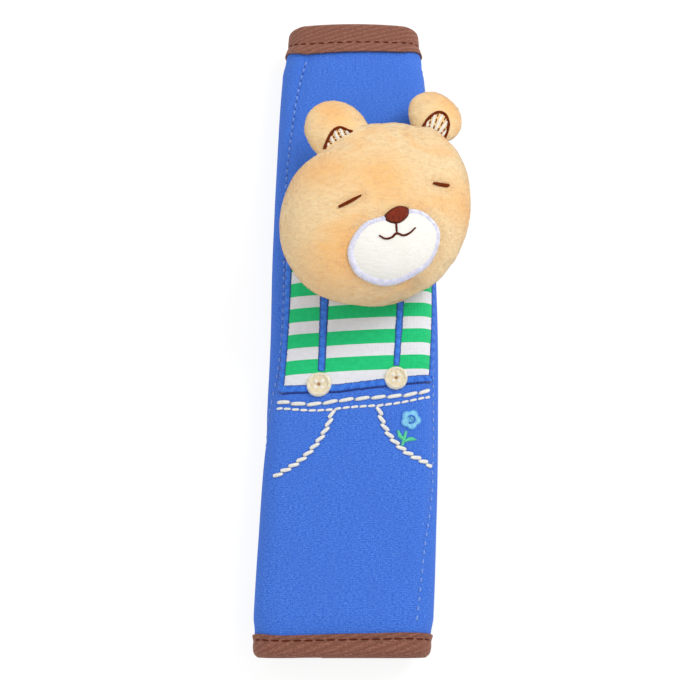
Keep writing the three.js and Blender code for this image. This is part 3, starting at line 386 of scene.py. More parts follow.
def polar(outline, centre):
    """The reach of a closed outline from a centre, as a function of the angle."""
    line = through(outline, closed=True)[:-1] - centre
    angles = np.arctan2(line[:, 1], line[:, 0])
    order = np.argsort(angles)
    reach = np.hypot(*line[order].T)
    return lambda angle: np.interp(
        np.arctan2(np.sin(angle), np.cos(angle)), angles[order], reach, period=2 * math.pi
    )


def bell(distance, reach):
    return np.exp(-((distance / reach) ** 2))


def smooth_step(low, high, value):
    t = np.clip((value - low) / (high - low), 0, 1)
    return t * t * (3 - 2 * t)


# Meshes. A shape is its points, its faces and its lay, which is each point's place in the cloth

SHARP_ANGLE = math.radians(50)


def grid_faces(index):
    """Quads between the neighbouring rows and columns of a grid of vertex numbers."""
    corners = [index[:-1, :-1], index[:-1, 1:], index[1:, 1:], index[1:, :-1]]
    return np.stack(corners, -1).reshape(-1, 4)


def sheet(sides, lays, ring=False):
    """The shape of a closed sheet, from the grids of its outer and inner side."""
    rows, columns = sides[0].shape[:2]
    outer = np.arange(rows * columns).reshape(rows, columns)
    if ring:
        outer = np.vstack([outer, outer[:1]])
    inner = outer + rows * columns
    faces = [grid_faces(outer), grid_faces(inner[:, ::-1])]
    for column in (0, -1):
        faces.append(grid_faces(np.stack([inner[:, column], outer[:, column]], 1)))
    if not ring:
        for row in (0, -1):
            faces.append(grid_faces(np.stack([inner[row], outer[row]], 0)))
    points, lay = (np.reshape(grids, (-1, 3)) for grids in (sides, lays))
    return points, np.concatenate(faces).tolist(), lay


def layer(surface, *sides):
    """A sheet whose sides are sigma, v and height over a surface, which are its lay as well."""
    sides = [np.broadcast_arrays(*side) for side in sides]
    return sheet([surface(*side) for side in sides], [np.stack(side, -1) for side in sides])


def dome_faces(rings, sides):
    """The faces of a closed body from a first pole through rings of points to a last pole."""
    index = 1 + np.arange(rings * sides).reshape(rings, sides)
    index = np.hstack([index, index[:, :1]])
    first, last = index[0].tolist(), index[-1].tolist()
    end = 1 + rings * sides
    faces = grid_faces(index).tolist()
    faces += [[0, b, a] for a, b in zip(first, first[1:])]
    return faces + [[end, a, b] for a, b in zip(last, last[1:])]


def joined(shapes):
    """Several shapes as one."""
    points, faces, *lays = zip(*shapes)
    starts = np.cumsum([0, *(len(each) for each in points)]).tolist()
    faces = [[i + start for i in face] for start, each in zip(starts, faces) for face in each]
    return np.concatenate(points), faces, *(np.concatenate(lay) for lay in lays)


def mesh_of(name, points, faces):
    """A mesh of points in millimetres, with its faces turned outwards."""
    mesh = bpy.data.meshes.new(name)
    mesh.from_pydata(to_frame(points).tolist(), [], faces)
    work = bmesh.new()
    work.from_mesh(mesh)
    bmesh.ops.recalc_face_normals(work, faces=work.faces)
    work.to_mesh(mesh)
    work.free()
    return mesh


def linked(name, data):
    """An object of a mesh, a light or a camera, in the scene."""
    obj = bpy.data.objects.new(name, data)
    bpy.context.scene.collection.objects.link(obj)
    return obj


def dressed(name, mesh, lay, finish, slot, *nodes):
    """An object of the mesh with its finish, riding on the root in place of the nodes."""
    attribute = mesh.attributes.new("lay", "FLOAT_VECTOR", "POINT")
    attribute.data.foreach_set("vector", np.asarray(lay, np.float32).ravel())
    obj = linked(name, mesh)
    mesh.materials.append(finish)
    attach(obj, "root")
    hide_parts(*nodes)
    return obj


def piece(name, shape, finish, slot, *nodes):
    """A smooth finished piece of the object."""
    points, faces, lay = shape
    mesh = mesh_of(name, points, faces)
    mesh.shade_smooth()
    mesh.set_sharp_from_angle(angle=SHARP_ANGLE)
    return dressed(name, mesh, lay, finish, slot, *nodes)


# Finishes. Colours are given in the usual 0 to 255 values

STRAND_PITCH = 0.38


def srgb(red, green, blue):
    """A colour as linear light."""
    shares = [c / 255 for c in (red, green, blue)]
    return (*[s / 12.92 if s < 0.04 else ((s + 0.055) / 1.055) ** 2.4 for s in shares], 1.0)


class Nodes:
    """A node tree under construction."""

    def __init__(self, tree):
        self.tree = tree

    def feed(self, socket, value):
        """Links a node's output to a socket, or sets the socket to a constant."""
        if isinstance(value, bpy.types.NodeSocket):
            self.tree.links.new(value, socket)
        else:
            socket.default_value = value

    def add(self, kind, output, inputs=(), **settings):
        """One output of a new node, whose inputs are fed the values given for them."""
        made = self.tree.nodes.new("ShaderNode" + kind)
        for name, value in settings.items():
            setattr(made, name, value)
        for socket, value in dict(inputs).items():
            self.feed(made.inputs[socket], value)
        return made.outputs[output]


class Finish(Nodes):
    """A material under construction, with short calls for what cloth and thread need."""

    def __init__(self, name, roughness, sheen=0.0, sheen_tint=(255, 255, 255), specular=0.3):
        self.material = bpy.data.materials.new(name)
        self.material.use_nodes = True
        super().__init__(self.material.node_tree)
        self.shader = self.tree.nodes["Principled BSDF"].inputs
        for socket, value in {
            "Roughness": roughness, "Specular IOR Level": specular, "Sheen Weight": sheen,
            "Sheen Roughness": 0.5, "Sheen Tint": srgb(*sheen_tint),
        }.items():
            self.feed(self.shader[socket], value)

    def cloth(self, *scale):
        """The place in the cloth in millimetres, which the mesh carries, stretched."""
        lay = self.add("Attribute", "Vector", attribute_name="lay")
        return self.add("Mapping", "Vector", {"Vector": lay, "Scale": scale})

    def body(self, *scale):
        """The place in the object in millimetres, stretched."""
        place = self.add("TexCoord", "Object")
        return self.add("Mapping", "Vector", {"Vector": place, "Scale": [s / MM for s in scale]})

    def noise(self, vector, detail=2.0, roughness=0.5, distortion=0.0):
        return self.add("TexNoise", "Fac", {
            "Vector": vector, "Scale": 1.0, "Detail": detail, "Roughness": roughness,
            "Distortion": distortion,
        })

    def wave(self, vector, direction, distortion):
        """Ridges, one for each unit of the vector."""
        return self.add("TexWave", "Fac", {
            "Vector": vector, "Scale": math.pi / 10, "Distortion": distortion, "Detail": 0.0,
        }, bands_direction=direction)

    def weave(self, across, along, distortion):
        """Ridges both ways, as loops or crossing threads have."""
        return self.times(self.wave(across, "X", distortion), self.wave(along, "Y", distortion))

    def between(self, value, low, high, to_low=0.0, to_high=1.0):
        return self.add("MapRange", "Result", {
            "Value": value, "From Min": low, "From Max": high, "To Min": to_low, "To Max": to_high,
        }, interpolation_type="SMOOTHSTEP")

    def times(self, a, b):
        return self.add("Math", 0, {0: a, 1: b}, operation="MULTIPLY")

    def lay(self, axis):
        """One part of the place in the cloth."""
        lay = self.add("Attribute", "Vector", attribute_name="lay")
        return self.add("SeparateXYZ", axis, {0: lay})

    def rim(self, start, stop):
        """Grows from 0 to 1 towards both edges of a band of threads, whose lay ends in its share: the
        mask of the painted shade along a band's edges.
        """
        aside = self.add("Math", 0, {0: self.lay("Z")}, operation="ABSOLUTE")
        return self.between(aside, start, stop)

    def blend(self, share, a, b):
        """A mix of two colours, each a socket or a constant."""
        a, b = (srgb(*color) if isinstance(color, tuple) else color for color in (a, b))
        return self.add("Mix", 2, {0: share, 6: a, 7: b}, data_type="RGBA")

    def bump(self, height, depth, under=None):
        """A bump whose height of 0 to 1 is depth millimetres."""
        inputs = {"Distance": depth * MM, "Height": height}
        if under is not None:
            inputs["Normal"] = under
        return self.add("Bump", "Normal", inputs)

    def finish(self, color, normal):
        self.feed(self.shader["Base Color"], color)
        self.feed(self.shader["Normal"], normal)
        return self.material


def jersey():
    """Blue cotton jersey: fine loops, streaks of paler yarn and a few slubs."""
    f = Finish("blue_jersey", 0.9, sheen=0.25, sheen_tint=(150, 185, 255), specular=0.2)
    streaks = f.noise(f.cloth(0.95, 2.3, 1), detail=3, roughness=0.65)
    patches = f.noise(f.cloth(0.06, 0.05, 0.06), detail=2)
    slubs = f.between(f.noise(f.cloth(0.9, 1.3, 1), detail=1), 0.70, 0.80)
    color = f.blend(f.between(streaks, 0.3, 0.7), (44, 94, 204), (84, 138, 234))
    color = f.blend(f.between(patches, 0.3, 0.7, 0.0, 0.35), color, (66, 114, 214))
    color = f.blend(f.times(slubs, 0.6), color, (132, 170, 240))
    loops = f.bump(f.weave(f.cloth(1.15, 1, 1), f.cloth(1, 1.45, 1), 0.6), 0.16)
    return f.finish(color, f.bump(streaks, 0.2, loops))


def woven(name, dark, light, pitch=0.8):
    """A plain woven cloth."""
    f = Finish(name, 0.92, sheen=0.15)
    threads = f.cloth(1 / pitch, 1 / pitch, 1)
    mottle = f.noise(f.cloth(0.5, 0.5, 0.5), detail=3)
    return f.finish(f.blend(mottle, dark, light), f.bump(f.weave(threads, threads, 0.4), 0.12))


def twill():
    """Brown twill tape: slanting ridges, with painted shade for the darker grooves between them."""
    f = Finish("brown_twill", 0.88, sheen=0.3, sheen_tint=(220, 180, 165), specular=0.2)
    ridges = f.wave(f.cloth(-0.28, 0.86, 1), "DIAGONAL", 0.9)
    fibres = f.noise(f.cloth(0.9, 2.6, 1), detail=3, roughness=0.65)
    color = f.blend(f.between(fibres, 0.3, 0.7), (112, 68, 54), (162, 110, 92))
    # Painted shade: the slanting ridges' wave darkens the tape along its diagonals.
    color = f.blend(f.times(ridges, 0.6), color, (112, 68, 54))
    return f.finish(color, f.bump(ridges, 0.2, f.bump(fibres, 0.12)))


def thread(name, dark, light, roughness=0.45, sheen=0.2, specular=0.45, edge=None):
    """Embroidery thread, whose strands lie across the band that it fills. edge, if given, is a darker
    colour painted as shade towards both sides of the band.
    """
    f = Finish(name, roughness, sheen=sheen, specular=specular)
    strands = f.wave(f.cloth(1 / STRAND_PITCH, 1, 1), "X", 0.5)
    fibres = f.noise(f.cloth(2.4, 0.5, 1), detail=3, roughness=0.6)
    color = f.blend(f.between(fibres, 0.25, 0.75), dark, light)
    # Painted shade: the colour darkens to edge towards both sides of the band.
    if edge:
        color = f.blend(f.rim(0.22, 0.42), color, edge)
    return f.finish(color, f.bump(strands, 0.1, f.bump(fibres, 0.08)))


def plush(name, shade, base, light, tint, depth=0.3, sewn=False):
    """Short plush: brushed nap with paler and warmer patches, and, if sewn, painted shade along the
    head's seam and a painted highlight on the fibres' tips.
    """
    f = Finish(name, 1.0, sheen=0.7, sheen_tint=(255, 236, 205), specular=0.1)
    nap = f.noise(f.body(0.28, 1.7, 0.9), detail=4, roughness=0.65, distortion=0.4)
    tufts = f.noise(f.body(1.6, 2.6, 1.8), detail=3, roughness=0.6)
    patches = f.noise(f.body(0.045, 0.07, 0.05), detail=2, distortion=0.6)
    color = f.blend(f.between(nap, 0.3, 0.62), shade, base)
    color = f.blend(f.between(tufts, 0.45, 0.75, 0.0, 0.7), color, light)
    color = f.blend(f.between(patches, 0.48, 0.7, 0.0, 0.55), color, tint)
    if sewn:
        color = f.blend(f.times(f.lay("Y"), 0.8), color, tint)
        # Painted shade: darker orange along the seam's crease.
        color = f.blend(f.times(f.lay("Z"), 0.6), color, (205, 135, 70))
        # Painted highlight: paler towards the fibres' tips.
        color = f.blend(f.times(f.lay("X"), 0.65), color, light)
    return f.finish(color, f.bump(nap, depth, f.bump(tufts, depth / 2)))


def tape(name, dark, light, pitch):
    """The face of hook or loop tape: rows of tiny hooks or a fine pile."""
    f = Finish(name, 0.95, sheen=0.2)
    rows = f.cloth(1 / pitch, 1 / pitch, 1)
    hooks = f.weave(rows, rows, 0.2)
    return f.finish(f.blend(hooks, dark, light), f.bump(hooks, 0.5))


JERSEY = jersey()
LINING_CLOTH = woven("blue_lining", (44, 84, 160), (60, 104, 186))
WADDING = woven("white_wadding", (238, 235, 228), (250, 248, 244), 2.2)
TWILL = twill()
SHIRT_WHITE = woven("shirt_white", (220, 221, 228), (238, 239, 245), 0.6)
SHIRT_GREEN = woven("shirt_green", (14, 183, 108), (34, 211, 134), 0.6)
# The edge colours below are painted shade along the sides of their bands and patches.
SATIN_BLUE = thread("satin_blue", (12, 92, 212), (58, 146, 246), edge=(8, 46, 136))
CREAM_THREAD = thread("cream_thread", (242, 238, 226), (255, 254, 250), 0.55)
BUTTON_CREAM = thread("button_cream", (230, 208, 168), (252, 242, 214), 0.55)
BUTTON_RIM = thread("button_rim", (238, 226, 196), (255, 250, 232), 0.55)
BUTTON_BROWN = thread("button_brown", (148, 98, 62), (190, 144, 98), 0.6)
DARK_THREAD = thread("dark_thread", (66, 20, 8), (112, 42, 20), 0.7, 0.0, 0.12)
BROWN_THREAD = thread("brown_thread", (88, 29, 0), (140, 56, 8), 0.7, 0.0, 0.12)
NOSE_BROWN = thread("nose_brown", (92, 21, 0), (146, 48, 8), 0.5, 0.0, 0.2, edge=(72, 15, 0))
FLOWER_BLUE = thread("flower_blue", (106, 188, 236), (166, 234, 254), edge=(80, 160, 226))
LEAF_GREEN = thread("leaf_green", (56, 196, 144), (114, 240, 178))
LILAC_SATIN = thread("lilac_satin", (222, 221, 244), (246, 246, 255), 0.45)
TOPSTITCH_THREAD = thread("topstitch_blue", (84, 132, 228), (140, 180, 250), 0.35)
# Painted shade: dark blue dots for the shade in the topstitching's needle holes.
HOLE_SHADE = thread("needle_hole_shade", (20, 48, 128), (28, 60, 146), 0.9)
PLUSH_TAN = plush(
    "tan_plush", (236, 196, 140), (243, 216, 166), (248, 234, 206), (245, 187, 112), sewn=True
)
PLUSH_WHITE = plush(
    "white_plush", (233, 231, 223), (243, 241, 235), (252, 251, 248), (238, 234, 223), depth=0.15
)
FASTENER_FACE = {
    "hook_tape": tape("hook_face", (22, 40, 84), (40, 70, 130), 1.4),
    "loop_tape": tape("loop_face", (30, 54, 110), (52, 84, 152), 0.9),
}


# Relief of the padded front: what sewing and stuffing do to the cover

topstitches = {
    "left": through(np.vstack([laid_flat(LEFT_TOPSTITCH), LEFT_TOPSTITCH_HIDDEN])),
    "right": through(np.vstack([RIGHT_TOPSTITCH_HIDDEN, laid_flat(RIGHT_TOPSTITCH)])),
}
panel_line = laid_flat(PANEL)

# How far sewn lines draw the padding down, and over what reach
TOPSTITCH_PRESS = (1.0, 3.0)
PANEL_PRESS = (0.7, 3.2)
SUSPENDER_PRESS = (0.45, 2.8)
SEWN_LINES = [
    *((line, *TOPSTITCH_PRESS) for line in topstitches.values()),
    (panel_line, *PANEL_PRESS),
    *((through(laid_flat(points)), *SUSPENDER_PRESS) for points, _ in SUSPENDERS.values()),
    *((through(laid_flat(points)), *press) for points, _, press in STITCH_ROWS.values()),
]

# Waves of the padding, puckers beside the bindings, the bindings' press and the outer flap's sag
WAVE_HEIGHT = 0.45
WAVE_SIZE = (34.0, 46.0)
PUCKER = 0.5
PUCKER_SIZE = (4.5, 14.0)
PUCKER_CENTRE = 2.0
PUCKER_REACH = 7.0
BINDING_PRESS = 0.8
BINDING_PRESS_REACH = 7.0
END_PRESS = 1.2
END_PRESS_REACH = 11.0
FLAP_SAG = 0.35

# Where the relief fades out: past the crown's edge, past the bindings, and under the pad
FRONT_FADE = (14, 26)
END_FADE = (-1, 4)
PRESS_FADE = 20
UNDER_FADE = 8


def ripples(sigma, v, size, seed):
    """Smooth chance heights, of one size across the sleeve and another along it."""
    points = zip((sigma / size[0]).ravel(), (v / size[1]).ravel())
    return np.array([noise.noise((a, b, seed)) for a, b in points]).reshape(sigma.shape)


def relief(sigma, v):
    """How far the finished cover stands above the plain form of the sleeve."""
    sigma, v = np.broadcast_arrays(np.asarray(sigma, float), np.asarray(v, float))
    s = section(v)
    height = WAVE_HEIGHT * ripples(sigma, v, WAVE_SIZE, 0.0)
    for line, depth, reach in SEWN_LINES:
        height = height - depth * bell(distance_to(line, sigma, v), reach)
    out = np.abs(sigma)
    from_ends = np.minimum(*(b.inward * (v - b.end) - b.width for b in BINDINGS.values()))
    press = BINDING_PRESS * (1 - smooth_step(0, BINDING_PRESS_REACH, from_ends))
    press = press + END_PRESS * smooth_step(0, END_PRESS_REACH, -from_ends)
    puckers = ripples(sigma, v, PUCKER_SIZE, 5.0)
    height = height + PUCKER * puckers * bell(from_ends - PUCKER_CENTRE, PUCKER_REACH)
    free = smooth_step(*END_FADE, from_ends)
    front = 1 - smooth_step(s.crown_end + FRONT_FADE[0], s.crown_end + FRONT_FADE[1], out)
    beside = 1 - smooth_step(s.crown_end + PRESS_FADE, s.side_end, out)
    under = smooth_step(s.side_end, s.side_end + UNDER_FADE, sigma)
    return front * height * free - beside * press + under * free * FLAP_SAG


def on_sleeve(sigma, v, h):
    """A point above the finished cover."""
    return pad_point(sigma, v, relief(sigma, v) + h)


def lifted(sigma, v, h):
    """A point of the wall: its outer side follows the relief, its inner side doesn't."""
    share = np.clip(1 + h / WALL, 0, 1)
    return pad_point(sigma, v, relief(sigma, v) * share + h)


# Wall of the sleeve

LAYER_LOW = BOTTOM_END + BINDING + LAYER_GAP
LAYER_HIGH = TOP_END - BINDING - LAYER_GAP
FINE_STEPS = (10, 5, 26, 26, 26, 22, 18)
PLAIN_STEPS = (4, 4, 12, 6, 6, 10, 4)
FINE_ROWS = 240
PLAIN_ROWS = 60
EDGE_TURNS = 7
INNER_HEM_SHORTER = 0.5
WADDING_INSET = COVER + 1.0


def stations(v, steps, inset):
    """Places round the section, the same number at every v, with the free edges drawn in."""
    s = section(v)
    breaks = [
        -s.inner_edge + inset, -s.bend_end, -s.curl_end, -s.crown_end,
        np.zeros_like(v), s.crown_end, s.side_end, s.outer_edge - inset,
    ]
    spans = [
        a[:, None] + (b - a)[:, None] * np.linspace(0, 1, count, endpoint=False)
        for a, b, count in zip(breaks, breaks[1:], steps)
    ]
    return np.hstack([*spans, breaks[-1][:, None]])


def cover_side(v, outside, inside, edge, hem):
    """One side of a layer that turns over the free edges and ends in a hem."""
    centre = (outside + inside) / 2
    radius = (outside - inside) / 2
    straight = stations(v, FINE_STEPS, edge + radius)
    first, last = straight[:, :1], straight[:, -1:]
    turn = np.linspace(0, math.pi, EDGE_TURNS)
    out = radius * np.sin(turn)
    sigma = np.hstack([
        first + hem, first - out[::-1], straight[:, 1:-1], last + out, last - hem,
    ])
    rounds = centre + radius * np.cos(turn)
    level = np.full(straight.shape[1] - 2, outside)
    return sigma, v[:, None], np.hstack([inside, rounds[::-1], level, rounds, inside])


def flat_width(v, hem=0.0):
    s = section(v)
    return float(s.inner_edge + s.outer_edge + 2 * hem)


def build_cover():
    """The jersey, turned over the flaps' edges."""
    v = np.linspace(LAYER_LOW, LAYER_HIGH, FINE_ROWS + 1)
    hem = HEM - WALL / 2
    outer = cover_side(v, 0.0, -WALL, 0.0, hem)
    inner = cover_side(v, -COVER, LINING - WALL, COVER, hem - INNER_HEM_SHORTER)
    cover = piece("jersey_cover", layer(lifted, outer, inner), JERSEY, "jersey", "outer_cover")
    size = (flat_width(0, HEM) * MM, LENGTH * MM)


def inner_layer(inset, top, bottom):
    """A plain layer between two depths in the wall, its edges drawn in from the flaps' edges."""
    v = np.linspace(LAYER_LOW, LAYER_HIGH, PLAIN_ROWS + 1)
    sigma = stations(v, PLAIN_STEPS, inset)
    return layer(lifted, (sigma, v[:, None], -top), (sigma, v[:, None], -bottom))


def build_inside():
    """The wadding, and the lining under it."""
    top = COVER + LAYER_GAP
    shape = inner_layer(WADDING_INSET, top, top + FOAM)
    piece("wadding", shape, WADDING, "foam", "foam_core")
    shape = inner_layer(HEM + LAYER_GAP, WALL - LINING, WALL)
    lining = piece("lining", shape, LINING_CLOTH, "lining", "inner_lining")
    size = ((flat_width(0) - 2 * HEM) * MM, LENGTH * MM)


# Threads

# Stitches: rings and sides of their points, how full their ends are, the height of their middle as
# a share of their rise, and the slant of their strands
STITCH_RINGS = 9
STITCH_SIDES = 8
STITCH_FULLNESS = 3.2
STITCH_LIFT = 0.35
STRAND_SLANT = 0.6

# Satin bands: points across, threads of a few rows of points each, and their uneven widths
BAND_COLUMNS = 9
BAND_CROWN = 0.96
THREAD_PITCH = 0.42
THREAD_ROWS = 3
THREAD_DEPTH = 0.16
RAGGED = 0.05


def stitches(line, surface, pitch, length, width, rise, slant=0.0):
    """Separate stitches of round thread along a line, each sinking into the cloth at its ends."""
    run = measured(line)[-1]
    place, across, _ = evenly(line, run / max(1, round(run / pitch)))
    centres = (place[1:] + place[:-1]) / 2
    left = (across[1:] + across[:-1]) / 2
    way = np.stack([left[:, 1], -left[:, 0]], 1)
    turn = math.radians(slant)
    ahead = way * math.cos(turn) + left * math.sin(turn)
    aside = left * math.cos(turn) - way * math.sin(turn)
    t = np.linspace(-1, 1, STITCH_RINGS + 2)[1:-1]
    body = (1 - np.abs(t) ** STITCH_FULLNESS) ** 0.5
    angles = around(STITCH_SIDES)

    def grid(lengthways, round_it, end=0.0):
        return np.concatenate([[-end], np.outer(lengthways, round_it).ravel(), [end]])

    reach = grid(t * length / 2, np.ones(STITCH_SIDES), length / 2)
    spread = grid(body * width / 2, np.cos(angles))
    lift = grid(body * rise, STITCH_LIFT + (1 - STITCH_LIFT) * np.sin(angles))
    twist = grid(np.ones(STITCH_RINGS), angles * width / 2)
    flat = centres[:, None] + ahead[:, None] * reach[:, None] + aside[:, None] * spread[:, None]
    points = surface(flat[..., 0], flat[..., 1], lift)
    lay = np.stack([reach + STRAND_SLANT * twist, twist, 0 * twist], -1)
    lay[[0, -1]] = 0
    faces = dome_faces(STITCH_RINGS, STITCH_SIDES)
    return joined([(each, faces, lay) for each in points])


def satin_band(line, width, surface, low, high, closed=False, seed=1):
    """Threads laid side by side across a line. width may depend on the share of the line's length."""
    place, across, at = evenly(line, THREAD_PITCH / THREAD_ROWS, closed)
    strand = (at / THREAD_PITCH).astype(int)
    uneven = 1 + RAGGED * np.random.default_rng(seed).standard_normal(strand.max() + 1)[strand]
    widths = (width(at / at[-1]) if callable(width) else width) * uneven
    t = np.linspace(-0.5, 0.5, BAND_COLUMNS)
    crown = np.sqrt(1 - BAND_CROWN * (2 * t) ** 2)
    ridge = 1 - THREAD_DEPTH * (0.5 + 0.5 * np.cos(2 * math.pi * at / THREAD_PITCH))
    flat = place[:, None] + across[:, None] * (widths[:, None] * t)[..., None]
    top = low + (high - low) * crown * ridge[:, None]
    sides = [surface(flat[..., 0], flat[..., 1], h) for h in (top, low)]
    lay = np.stack(np.broadcast_arrays(at[:, None], t * widths[:, None], t), -1)
    return sheet(sides, [lay, lay], closed)


def tapered(width, ends, growth=0.0):
    """A band's width: a share of it at the ends, full in the middle, growing along the line."""
    return lambda share: width * (
        ends + (1 - ends) * np.sin(math.pi * share) + growth * (share - 0.5)
    )


def patch(reach, centre, surface, low, top, rings=12, sides=72):
    """A filled patch round a centre. top gives its height from x, y and the share of the way out."""
    angles = around(sides)
    shares = np.sin(np.linspace(0, math.pi / 2, rings + 1))[1:]
    out = reach(angles) if callable(reach) else reach
    spots = ring_points(centre, shares[:, None] * out, angles)
    x, y = np.concatenate([[centre], spots.reshape(-1, 2), spots[-1], [centre]]).T
    share = np.concatenate([[0], np.repeat(shares, sides)])
    upper = len(share)
    heights = np.append(top(x[:upper], y[:upper], share), np.full(sides + 1, low))
    # outward grows towards the patch's edge, where finishes with an edge colour paint shade.
    outward = np.append(share**3 / 2, np.full(sides + 1, 0.5))
    return surface(x, y, heights), dome_faces(rings + 1, sides), np.stack([x, y, outward], -1)


# Bindings and fasteners

FOLD_TURNS = 6
LEG_STEPS = 10
EDGE_LIFT = 0.45
UNDER_DRAW = 1.2
TAPE_SLOPE = 0.026
STITCH_PRESS = 0.45
STITCH_PRESS_REACH = 1.6
BINDING_STITCH_PITCH = 4.3
BINDING_STITCH_RISE = 0.4
ROW_POINTS = 60
FASTENER_COLUMNS = 14

# Where the edge of the front lies, and the spans past it in which a side and the underside begin
SIDE_START = float(section(TOP_END).crown_end)
SIDE_SPAN = (-2.0, 1.4 * SIDE_RADIUS)
UNDER_SPAN = (SIDE_RADIUS, 2.4 * SIDE_RADIUS)


def fold_profile(width, thickness):
    """A tape's path over the end of the wall: distance in from the end, and height."""
    outer_level = LAYER_GAP + thickness
    inner_level = -WALL - LAYER_GAP - thickness
    radius = BINDING_ROUND - BINDING + thickness
    start = BINDING - thickness
    turn = np.linspace(0, math.pi / 2, FOLD_TURNS)
    legs = np.linspace(width, start + radius, LEG_STEPS, endpoint=False)
    back = np.linspace(start + radius, BINDING_BACK_WIDTH, LEG_STEPS // 2)[1:]
    distance = np.concatenate([
        legs, start + radius * (1 - np.sin(turn)), start + radius * (1 - np.cos(turn)), back,
    ])
    height = np.concatenate([
        np.full(LEG_STEPS, outer_level),
        outer_level - radius * (1 - np.cos(turn)),
        inner_level + radius * (1 - np.sin(turn)),
        np.full(len(back), inner_level),
    ])
    return distance, height


def turned(sigma, span):
    """Grows from 0 on the front to 1 over a span past the front's edge."""
    return smooth_step(SIDE_START + span[0], SIDE_START + span[1], np.abs(sigma))


def edge_shift(sigma, b):
    """How far the free edge of a tape lies towards the top end from its straight place."""
    side, under = turned(sigma, SIDE_SPAN), turned(sigma, UNDER_SPAN)
    return b.draw * side - b.inward * UNDER_DRAW * under + TAPE_SLOPE * sigma * (1 - side)


def build_binding(name, b):
    """A brown tape folded over an end, and the row of dark stitches that draws it down."""
    row = b.width - b.inset
    sides = []
    for thickness in (BINDING, 0.0):
        distance, height = fold_profile(b.width, thickness)
        pressed = STITCH_PRESS * bell(distance - row, STITCH_PRESS_REACH)
        lift = EDGE_LIFT * b.width / BINDINGS["top"].width * smooth_step(row, b.width, distance)
        v = b.end + b.inward * distance
        sigma = stations(v, FINE_STEPS, 0.0).T
        outside = height > -WALL / 2
        v = v + edge_shift(sigma, b) * np.where(outside, distance / b.width, 0)
        height = height + np.where(outside, lift * (1 - turned(sigma, SIDE_SPAN)) - pressed, 0)
        sides.append((sigma, v, height))
    made = piece(f"{name}_tape", layer(lifted, *sides), TWILL, "binding_tape", f"{name}_binding")
    size = ((b.width + BINDING_BACK_WIDTH + WALL) * MM, flat_width(b.end) * MM)
    v = b.end + b.inward * row
    half = float(section(v).crown_end) + SIDE_RADIUS
    sigma = np.linspace(-half, half, ROW_POINTS)
    line = np.stack([sigma, v + edge_shift(sigma, b) * row / b.width], 1)

    def on_tape(sigma, v, h):
        return on_sleeve(sigma, v, LAYER_GAP + BINDING - STITCH_PRESS + h)

    threads = stitches(line, on_tape, BINDING_STITCH_PITCH, *b.stitch, BINDING_STITCH_RISE)
    node = f"{name}_binding_stitches"
    piece(f"{name}_binding_threads", threads, DARK_THREAD, "dark_thread", node)


def build_fasteners():
    """Hook tape inside the outer flap and loop tape on the inner one, face to face."""
    low, high = (corner.y / MM - SHIFT[1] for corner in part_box("hook_tape"))
    v = np.linspace(low, high, PLAIN_ROWS + 1)[:, None]
    s = section(v)
    edges = (OUTER_FLAP_EDGE + FASTENER_MARGIN, INNER_FLAP_EDGE - FASTENER_MARGIN)
    x = np.linspace(*edges, FASTENER_COLUMNS)
    for node, sigma, top in (
        ("hook_tape", s.side_end + s.flat - x, -WALL - LAYER_GAP),
        ("loop_tape", s.bend_x - x - s.bend_end, LAYER_GAP + FASTENER),
    ):
        shape = layer(pad_point, (sigma, v, top), (sigma, v, top - FASTENER))
        made = piece(f"{node}_face", shape, FASTENER_FACE[node], "fastener", node)


# Embroidery on the sleeve

PANEL_TOP = 0.55
STRIPE_TOP = 0.6
STRIPE_LOW = 0.25
BORDER_TOP = 1.35
CORNER_CUT = 0.8
SUSPENDER_LOW = 0.3
SUSPENDER_TOP = 1.25
SUSPENDER_GROWTH = -0.24
THREAD_TOP = 0.9
CLOTH_GRID = 0.9
SUNK = -0.15

# Buttons: heights, how far the parts inside the rim sink below it, and shares of the radius
BUTTON_LOW = 0.4
BUTTON_TOP = 2.4
KNOT_FOOT = 1.0
FACE_SUNK = 0.75
FACE_STRAND = (0.1, 0.6)
KNOT_RISE = 0.5
MIDDLE_SUNK = 0.7
MIDDLE_RISE = 0.45
RIM_SHARE = 0.36
RIM_OVERLAP = 0.8
KNOT_PLACE = 0.36
KNOT_SHARE = 0.15
MIDDLE_SHARE = 0.14

# Blossom: its petals' reach and droop, the ridges of its threads, and the curl of thread on it
PETAL_REACH = 0.86
PETAL_SWELL = 0.2
PETAL_TURN = 0.3
PETAL_DROOP = 0.45
RIDGES = 40
RIDGE_HEIGHT = 0.07
CURL_REACH = 1.5
CURL_ANGLES = (-2.2, 2.4)
CURL_WIDTH = 0.85
CURL_LOW = 0.5
CURL_TOP = THREAD_TOP + 0.5


def panel_cloth(low_line, high_line, low, high):
    """A piece of the panel's cloth between two lines across it."""
    top_left, bottom_left, _, bottom_right, top_right = panel_line
    t = np.linspace(0, 1, round((top_right[0] - top_left[0]) / CLOTH_GRID) + 1)
    guess = bottom_left[0] + (bottom_right[0] - bottom_left[0]) * t
    tall = high_line(guess) - low_line(guess)
    up = np.linspace(0, 1, max(2, round(float(np.mean(tall)) / CLOTH_GRID)) + 1)[:, None]
    left, right = (
        np.interp(low_line(guess) + tall * up, [foot[1], head[1]], [foot[0], head[0]])
        for foot, head in ((bottom_left, top_left), (bottom_right, top_right))
    )
    sigma = left + (right - left) * t
    v = low_line(sigma) + (high_line(sigma) - low_line(sigma)) * up
    lay = np.stack([sigma, v, np.zeros_like(v)], -1)
    return sheet([on_sleeve(sigma, v, h) for h in (high, low)], [lay, lay])


def stripe_edge(index, side):
    """The lower or upper edge of a stripe, as v at each sigma."""
    start = FIRST_STRIPE + index * STRIPE_PITCH + side * STRIPE_WIDTH / 2
    return lambda sigma: start + STRIPE_SLOPE * sigma


